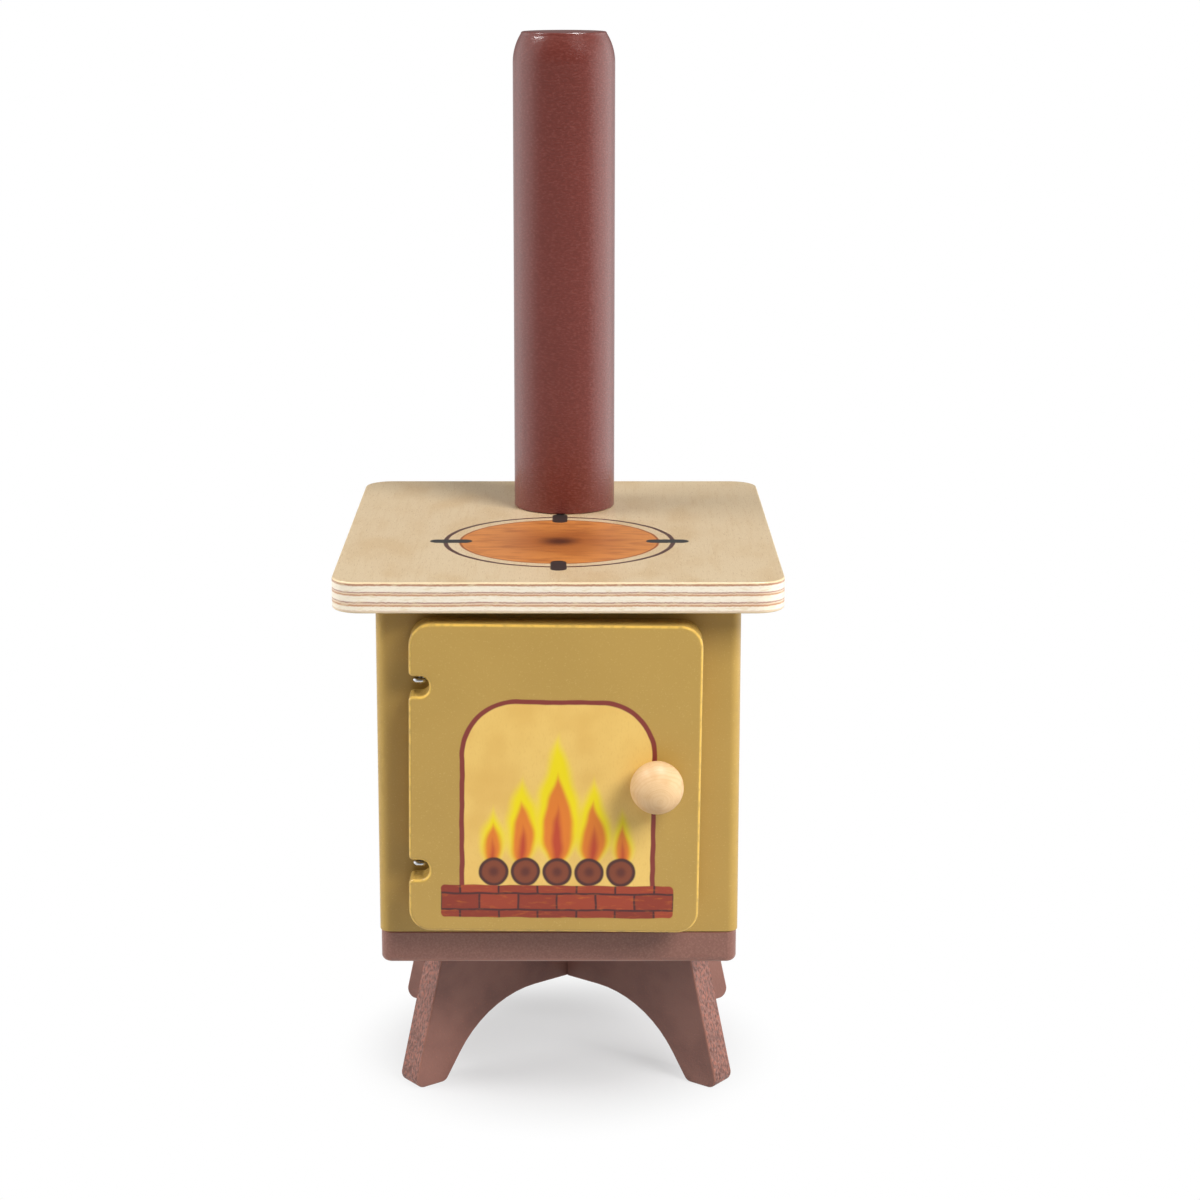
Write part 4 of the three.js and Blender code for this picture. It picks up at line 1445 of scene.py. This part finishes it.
@dataclass
class CrossedLegs:
    """Two arched boards that cross under the plinth, each slotted half way for the other."""

    joinery: Joinery
    turn: float = math.radians(37.4)
    crossing_x: float = 1.9
    thickness: float = 8.25
    top_reach: float = 47.0
    splay: float = 12.1
    foot_length: float = 11.0
    toe_radius: float = 2.8
    heel_radius: float = 2.5
    arch_height: float = 21.9
    arch_lean: float = math.radians(55.8)
    arch_shoulder_radius: float = 32.7
    lap_forward: float = 1.35
    lap_fit: float = 0.3
    slot_reach: float = 60.0
    ease: float = 0.6
    pitch: float = 0.35
    rough_depth: float = 0.32
    rough_patch: float = 0.8
    rough_inset: float = 0.9
    rough_margin: float = 0.5
    face_margin: float = 0.3

    def outline(self, height: float) -> list[Vector]:
        """Gives a leg board's outline, with its front end at -X.

        Args:
            height: The board's height.

        Returns:
            The outline's points.
        """
        foot = self.top_reach + self.splay
        arch = foot - self.foot_length
        shoulder = arch - self.arch_height / math.tan(self.arch_lean)
        left = [
            (-foot, 0.0, self.toe_radius),
            (-arch, 0.0, self.heel_radius),
            (-shoulder, self.arch_height, self.arch_shoulder_radius),
        ]
        right = [(-x, y, radius) for x, y, radius in reversed(left)]
        top = [(self.top_reach, height, 0.0), (-self.top_reach, height, 0.0)]
        points = spaced(rounded_outline([*left, *right, *top]), self.pitch)
        return [point + Vector((self.lap_forward, 0.0)) for point in points]

    def on_end(self, height: float, point: Vector) -> bool:
        """Tells whether a point is on the sawn ends of a board rather than on its planed faces.

        Args:
            height: The board's height.
            point: The point in the board's axes.

        Returns:
            Whether it is.
        """
        end = self.top_reach + self.splay * (1 - point.y / height)
        near_end = abs(point.x - self.lap_forward) > end - self.rough_inset
        inside = self.rough_margin < point.y < height - self.rough_margin
        return near_end and inside and abs(point.z) < self.thickness / 2 - self.face_margin

    def slot(self, place: Matrix, crossing: float, low: float, high: float) -> Solid:
        """Gives the slot to cut for the other board.

        Args:
            place: The board's place.
            crossing: The angle from this board to the other one.
            low: The slot's lower end.
            high: The slot's upper end.

        Returns:
            The cutting shape.
        """
        width = self.thickness + 2 * self.lap_fit
        mesh = board(rounded_rectangle(2 * self.slot_reach, width, 0.0), ((0.0, low), (0.0, high)))
        return tool(mesh, place @ Z_TO_Y @ Matrix.Rotation(crossing, 4, "Z"))

    def build(self) -> None:
        """Adds the two boards."""
        paint, height = COARSE_BROWN.make(), Extent("leg_board_a").high.z
        origin = Matrix.Translation(Vector((self.crossing_x, Extent("plinth_board").middle.y, 0.0)) * MM)
        lap, crossing = (self.arch_height + height) / 2, 2 * self.turn
        for letter, turn, other, low, high in (
            ("a", self.turn, -crossing, lap - self.lap_fit / 2, height + OVERSHOOT),
            ("b", math.pi - self.turn, crossing, -OVERSHOOT, lap + self.lap_fit / 2),
        ):
            place = origin @ Matrix.Rotation(turn, 4, "Z") @ Z_TO_Y.inverted()
            blank = board(self.outline(height), edge_section(self.thickness, self.ease, self.ease, self.pitch))
            blank.transform(Matrix.Translation((0.0, 0.0, -self.thickness / 2 * MM)))
            roughened(blank, self.rough_depth, self.rough_patch, partial(self.on_end, height))
            tools = [self.slot(place, other, low, high), *(screw.hole() for screw in self.joinery.leg_screws)]
            add_piece(f"crossed_leg_{letter}", carve(blank, place, tools), place, paint, f"leg_board_{letter}")


@dataclass
class Door:
    """The painted door with its picture, knob and hinge pins.

    Its own axes are Z out of its face, Y up the hinge line and X to its free edge.
    """

    joinery: Joinery
    width_start: float = -3.0
    width_end: float = 75.5
    height: float = 86.0
    thickness: float = 8.5
    corner_radius: float = 6.0
    ease: float = 0.9
    notch_height: float = 5.5
    notch_depth: float = 5.5
    notch_from_end: float = 17.3
    notch_lip_radius: float = 1.2
    notch_end_radius: float = 2.5
    notch_rough_depth: float = 0.3
    notch_rough_patch: float = 0.9
    notch_rough_half: float = 3.2
    notch_rough_near: float = 0.2
    notch_rough_past: float = 0.3
    pitch: float = 0.45
    pin_radius: float = 0.55
    pin_grip: float = 9.0
    pin_tail: float = 0.5
    pin_fit: float = 0.25
    pin_chamfer: float = 0.2
    eye_rise: float = 1.0
    eye_wire_radius: float = 0.65
    knob_radius: float = 7.15
    knob_half_length: float = 6.6
    knob_seat_radius: float = 3.6
    knob_tip_radius: float = 0.04
    knob_from_free_edge: float = 12.0
    knob_rise: float = 0.2
    knob_seat_gap: float = 0.3
    knob_sides: int = 96
    knob_steps: int = 40
    picture_from_hinge_edge: float = 40.1
    picture_sill: float = 11.0

    def __post_init__(self) -> None:
        """Reads the hinge line from the frame's joint, and works out the levels of the notches."""
        joint = frame["joints"][0]
        self.origin = Vector(joint["pos_m"]) / MM
        self.place = placed(self.origin, Facing.FRONT, -Vector(joint["axis"]).normalized())
        self.notch_levels = {"upper": self.height - self.notch_from_end, "lower": self.notch_from_end}

    def at(self, x: float, y: float, z: float) -> Matrix:
        """Gives a place in the door's axes, in millimetres."""
        return self.place @ Matrix.Translation(Vector((x, y, z)) * MM)

    def up_hinge(self, level: float) -> Matrix:
        """Gives a place on the hinge line, whose own Z axis runs up it."""
        return self.at(0, level, 0) @ Z_TO_Y

    def outline(self) -> list[Vector]:
        """Gives the door's outline, with the two notches in its hinge edge.

        Returns:
            The outline's points.
        """
        start, end, height = self.width_start, self.width_end, self.height
        corners = [(x, y, self.corner_radius) for x, y in ((start, 0.0), (end, 0.0), (end, height), (start, height))]
        inner, lip, bend = start + self.notch_depth, self.notch_lip_radius, self.notch_end_radius
        for level in self.notch_levels.values():
            top, foot = level + self.notch_height / 2, level - self.notch_height / 2
            corners += [(start, top, lip), (inner, top, bend), (inner, foot, bend), (start, foot, lip)]
        return spaced(rounded_outline(corners), self.pitch)

    def in_notch(self, point: Vector) -> bool:
        """Tells whether a point is on the notches' walls, which are cut and not sanded.

        Args:
            point: The point in the door's axes.

        Returns:
            Whether it is.
        """
        start, near = self.width_start, self.notch_height / 2 + self.notch_rough_near
        inside = start + self.notch_lip_radius < point.x < start + self.notch_depth + self.notch_rough_past
        level = any(abs(point.y - y) < near for y in self.notch_levels.values())
        return inside and level and abs(point.z) < self.notch_rough_half

    def build_panel(self) -> None:
        """Adds the door's panel."""
        blank = board(self.outline(), edge_section(self.thickness, self.ease, self.ease, self.pitch))
        blank.transform(Matrix.Translation((0.0, 0.0, -self.thickness / 2 * MM)))
        roughened(blank, self.notch_rough_depth, self.notch_rough_patch, self.in_notch)
        reach, pin = self.notch_height / 2 + self.pin_grip + self.pin_fit, self.pin_radius + self.pin_fit
        holes = [bar(pin, 0.0, reach, self.up_hinge(level)) for level in self.notch_levels.values()]
        mesh = carve(blank, self.place, [self.joinery.knob_screw.hole(), *holes])
        middle = self.width_start + self.picture_from_hinge_edge
        paint = OLIVE.make(FirePicture(middle, self.picture_sill, self.thickness / 2))
        add_piece("door_leaf", mesh, self.place, paint, "door_panel", body=Body.DOOR)

    def build_knob(self) -> None:
        """Adds the ball knob, turned from its seat to its tip."""
        radius, half = self.knob_radius, self.knob_half_length
        start = -math.acos(self.knob_seat_radius / radius)
        centre = -half * math.sin(start)
        turns = [start + (math.pi / 2 - start) * step / self.knob_steps for step in range(self.knob_steps)]
        ball = [(radius * math.cos(t), centre + half * math.sin(t)) for t in turns]
        profile = [(self.knob_seat_radius - SUPPORT, 0.0), *ball, (self.knob_tip_radius, centre + half)]
        x, y = self.width_end - self.knob_from_free_edge, self.height / 2 + self.knob_rise
        place = self.at(x, y, self.thickness / 2 + self.knob_seat_gap)
        mesh = carve(turned(profile, self.knob_sides), place, [self.joinery.knob_screw.hole()])
        add_piece("ball_knob", mesh, place, self.joinery.beech, "door_knob", body=Body.DOOR)

    def build_pins(self) -> None:
        """Adds the two hinge pins."""
        foot, top = self.eye_rise - self.eye_wire_radius - self.pin_tail, self.notch_height / 2 + self.pin_grip
        for end, level in self.notch_levels.items():
            mesh = turned(chamfered(self.pin_radius, foot, top, self.pin_chamfer), BAR_SIDES)
            steel, node = self.joinery.steel, f"{end}_hinge_pin"
            add_piece(f"{end}_pin", mesh, self.up_hinge(level), steel, node, body=Body.DOOR)

    def build(self) -> None:
        """Adds the whole door."""
        self.build_panel()
        self.build_knob()
        self.build_pins()


@dataclass
class HingeEye:
    """A screw eye of bright wire: a ring round a hinge pin and a shank in the firebox front."""

    end: str
    steel: Finish
    wire_radius: float = 0.65
    shank_lap: float = 0.3
    ring_sides: int = 48
    wire_sides: int = 16

    def build(self) -> None:
        """Adds the eye."""
        wire, extent = self.wire_radius, Extent(f"{self.end}_hinge_eye")
        ring_radius = extent.size.x / 2 - wire
        place = placed(Vector((extent.middle.x, extent.low.y + ring_radius + wire, extent.middle.z)))
        shank = extent.size.y - ring_radius - wire
        stem = turned([(wire, ring_radius - self.shank_lap), (wire, shank)], self.wire_sides)
        stem = carve(stem, place @ Z_TO_Y, [bar(ring_radius, -2 * wire, 2 * wire, place)])
        stem.transform(Z_TO_Y)
        mesh = carve(self.ring(ring_radius), place, [tool(stem, place)], join=True)
        add_piece(f"{self.end}_eye", mesh, place, self.steel, extent.node)

    def ring(self, ring_radius: float) -> Mesh:
        """Makes the closed ring about the Z axis.

        Args:
            ring_radius: Radius of the wire's middle line.

        Returns:
            The mesh.
        """
        points, faces = [], []
        for i in range(self.ring_sides):
            around = 2 * math.pi * i / self.ring_sides
            for j in range(self.wire_sides):
                section = 2 * math.pi * j / self.wire_sides
                radius = ring_radius + self.wire_radius * math.cos(section)
                height = self.wire_radius * math.sin(section)
                points.append(Vector((radius * math.cos(around), radius * math.sin(around), height)) * MM)
                ahead, beside = (i + 1) % self.ring_sides, (j + 1) % self.wire_sides
                corners = ((i, j), (ahead, j), (ahead, beside), (i, beside))
                faces.append(tuple(a * self.wire_sides + b for a, b in corners))
        mesh = bpy.data.meshes.new("ring")
        mesh.from_pydata(points, [], faces)
        return mesh


@dataclass
class Studio:
    """The pale floor, the soft lights and the camera."""

    camera_place: Triple = (0.0055, -0.76845, 0.3254)
    camera_pitch: float = math.radians(11.91)
    camera_lens: float = 82.4
    camera_shift: Pair = (0.0177, -0.075)
    aim: Triple = (0.0, 0.0, 0.12)
    ambient: float = 0.07
    bright_wall: float = 3.0
    dim_wall: float = 0.2
    far_floor: float = 0.8
    floor_half: float = 0.5
    floor_colour: str = "#C2C2C2"
    white: str = "#FFFFFF"
    white_share: float = 0.53
    fade_start: float = 0.025
    fade_end: float = 0.068

    def build(self) -> None:
        """Adds the whole studio."""
        self.add_camera()
        self.add_floor()
        self.add_world()
        self.add_light("key", (0.97, -0.99, 1.28), 0.9, 38.4)
        self.add_light("low right", (1.2, -0.3, 0.12), 0.5, 4.2)
        self.add_light("left wall", (-1.2, -0.1, 0.62), 0.9, 16.0)
        self.add_light("top", (-0.3, 0.2, 1.4), 1.0, 3.4)
        self.add_light("left window", (-1.05, 0.1, 1.5), 0.2, 16.0, only_gloss=True)
        self.add_light("right window", (0.35, 0.1, 1.5), 0.2, 22.0, only_gloss=True)

    def add_camera(self) -> None:
        """Adds the camera at the photograph's viewpoint, with a small shift for its framing."""
        camera = bpy.data.cameras.new("camera")
        camera.lens = self.camera_lens
        camera.sensor_width = 36.0
        camera.shift_x, camera.shift_y = self.camera_shift
        camera.clip_start, camera.clip_end = 0.05, 50.0
        holder = bpy.data.objects.new("camera", camera)
        holder.location = self.camera_place
        holder.rotation_euler = (math.pi / 2 - self.camera_pitch, 0.0, 0.0)
        bpy.context.scene.collection.objects.link(holder)
        bpy.context.scene.camera = holder

    def add_floor(self) -> None:
        """Adds a white floor, which keeps the stove's shadow near it and fades to plain white further off."""
        half = self.floor_half
        mesh = bpy.data.meshes.new("floor")
        mesh.from_pydata([(-half, -half, 0), (half, -half, 0), (half, half, 0), (-half, half, 0)], [], [(0, 1, 2, 3)])
        material = new_material("white paper")
        tree = material.node_tree
        place = add_node(tree, "TexCoord", output="Object")
        away = add_node(tree, "VectorMath", {"operation": "LENGTH", 0: place}, "Value")
        far = between(away, self.fade_start, self.fade_end, 1.0, self.white_share)
        rays = add_node(tree, "LightPath").node.outputs
        seen = {"operation": "MAXIMUM", 0: rays["Is Camera Ray"], 1: rays["Is Glossy Ray"]}
        share = add_node(tree, "Math", {"operation": "MULTIPLY", 0: add_node(tree, "Math", seen), 1: far})
        paper = add_node(tree, "BsdfDiffuse", {"Color": self.floor_colour})
        white = add_node(tree, "Emission", {"Color": self.white, "Strength": 1.0})
        add_node(tree, "OutputMaterial", {"Surface": add_node(tree, "MixShader", {0: share, 1: paper, 2: white})})
        mesh.materials.append(material)
        floor = bpy.data.objects.new("floor", mesh)
        bpy.context.scene.collection.objects.link(floor)

    def add_world(self) -> None:
        """Lights the scene softly from all round, with plain white behind it and a room for gloss to show.

        The room has bright walls at both sides, the brighter one at the right, and a pale floor. It is dim in front
        of the stove and overhead, and fainter behind it.
        """
        world = bpy.data.worlds.new("studio")
        world.use_nodes = True
        tree = world.node_tree
        tree.nodes.clear()
        rays = add_node(tree, "LightPath").node.outputs
        way = add_node(tree, "TexCoord", output="Generated")
        axes = add_node(tree, "SeparateXYZ", {"Vector": way}).node.outputs
        glow = between(axes["Y"], -0.85, 0.1, self.bright_wall)
        for operation, value in (
            ("MULTIPLY", between(axes["X"], -6.0, 3.0)),
            ("MULTIPLY", between(axes["Y"], 1.06, 0.45)),
            ("MULTIPLY", between(axes["Z"], 0.85, 0.1)),
            ("MAXIMUM", self.dim_wall),
            ("MAXIMUM", between(axes["Z"], 0.02, -0.05, self.far_floor)),
            ("MULTIPLY", rays["Is Glossy Ray"]),
            ("MAXIMUM", rays["Is Camera Ray"]),
            ("MAXIMUM", rays["Is Transmission Ray"]),
            ("MAXIMUM", self.ambient),
        ):
            glow = add_node(tree, "Math", {"operation": operation, 0: glow, 1: value})
        light = add_node(tree, "Background", {"Color": self.white, "Strength": glow})
        add_node(tree, "OutputWorld", {"Surface": light})
        bpy.context.scene.world = world

    def add_light(self, name: str, place: Triple, size: float, power: float, only_gloss: bool = False) -> None:
        """Adds a square soft light that looks at the stove.

        Args:
            name: The light's name.
            place: Its place in metres.
            size: Its side in metres.
            power: Its power in watts.
            only_gloss: Whether it shows in gloss alone, where the room takes the other lights' place.
        """
        lamp = bpy.data.lights.new(name, "AREA")
        lamp.shape = "SQUARE"
        lamp.size = size
        lamp.energy = power
        holder = bpy.data.objects.new(name, lamp)
        holder.location = place
        holder.visible_glossy, holder.visible_diffuse = only_gloss, not only_gloss
        holder.rotation_euler = (Vector(self.aim) - Vector(place)).to_track_quat("-Z", "Y").to_euler()
        bpy.context.scene.collection.objects.link(holder)


def main() -> None:
    """Builds the stove and the studio."""
    logging.basicConfig(level=logging.INFO, format="%(name)s: %(message)s")
    bpy.context.scene.view_settings.view_transform = "Standard"
    Studio().build()
    joinery = Joinery(SandedBeech().make(), ZincPlatedSteel().make())
    for part in (HobPlate, FluePipe, Firebox, Plinth, CrossedLegs, Door):
        part(joinery).build()
    for end in ("upper", "lower"):
        HingeEye(end, joinery.steel).build()
    joinery.build()


if __name__ == "__main__":
    main()
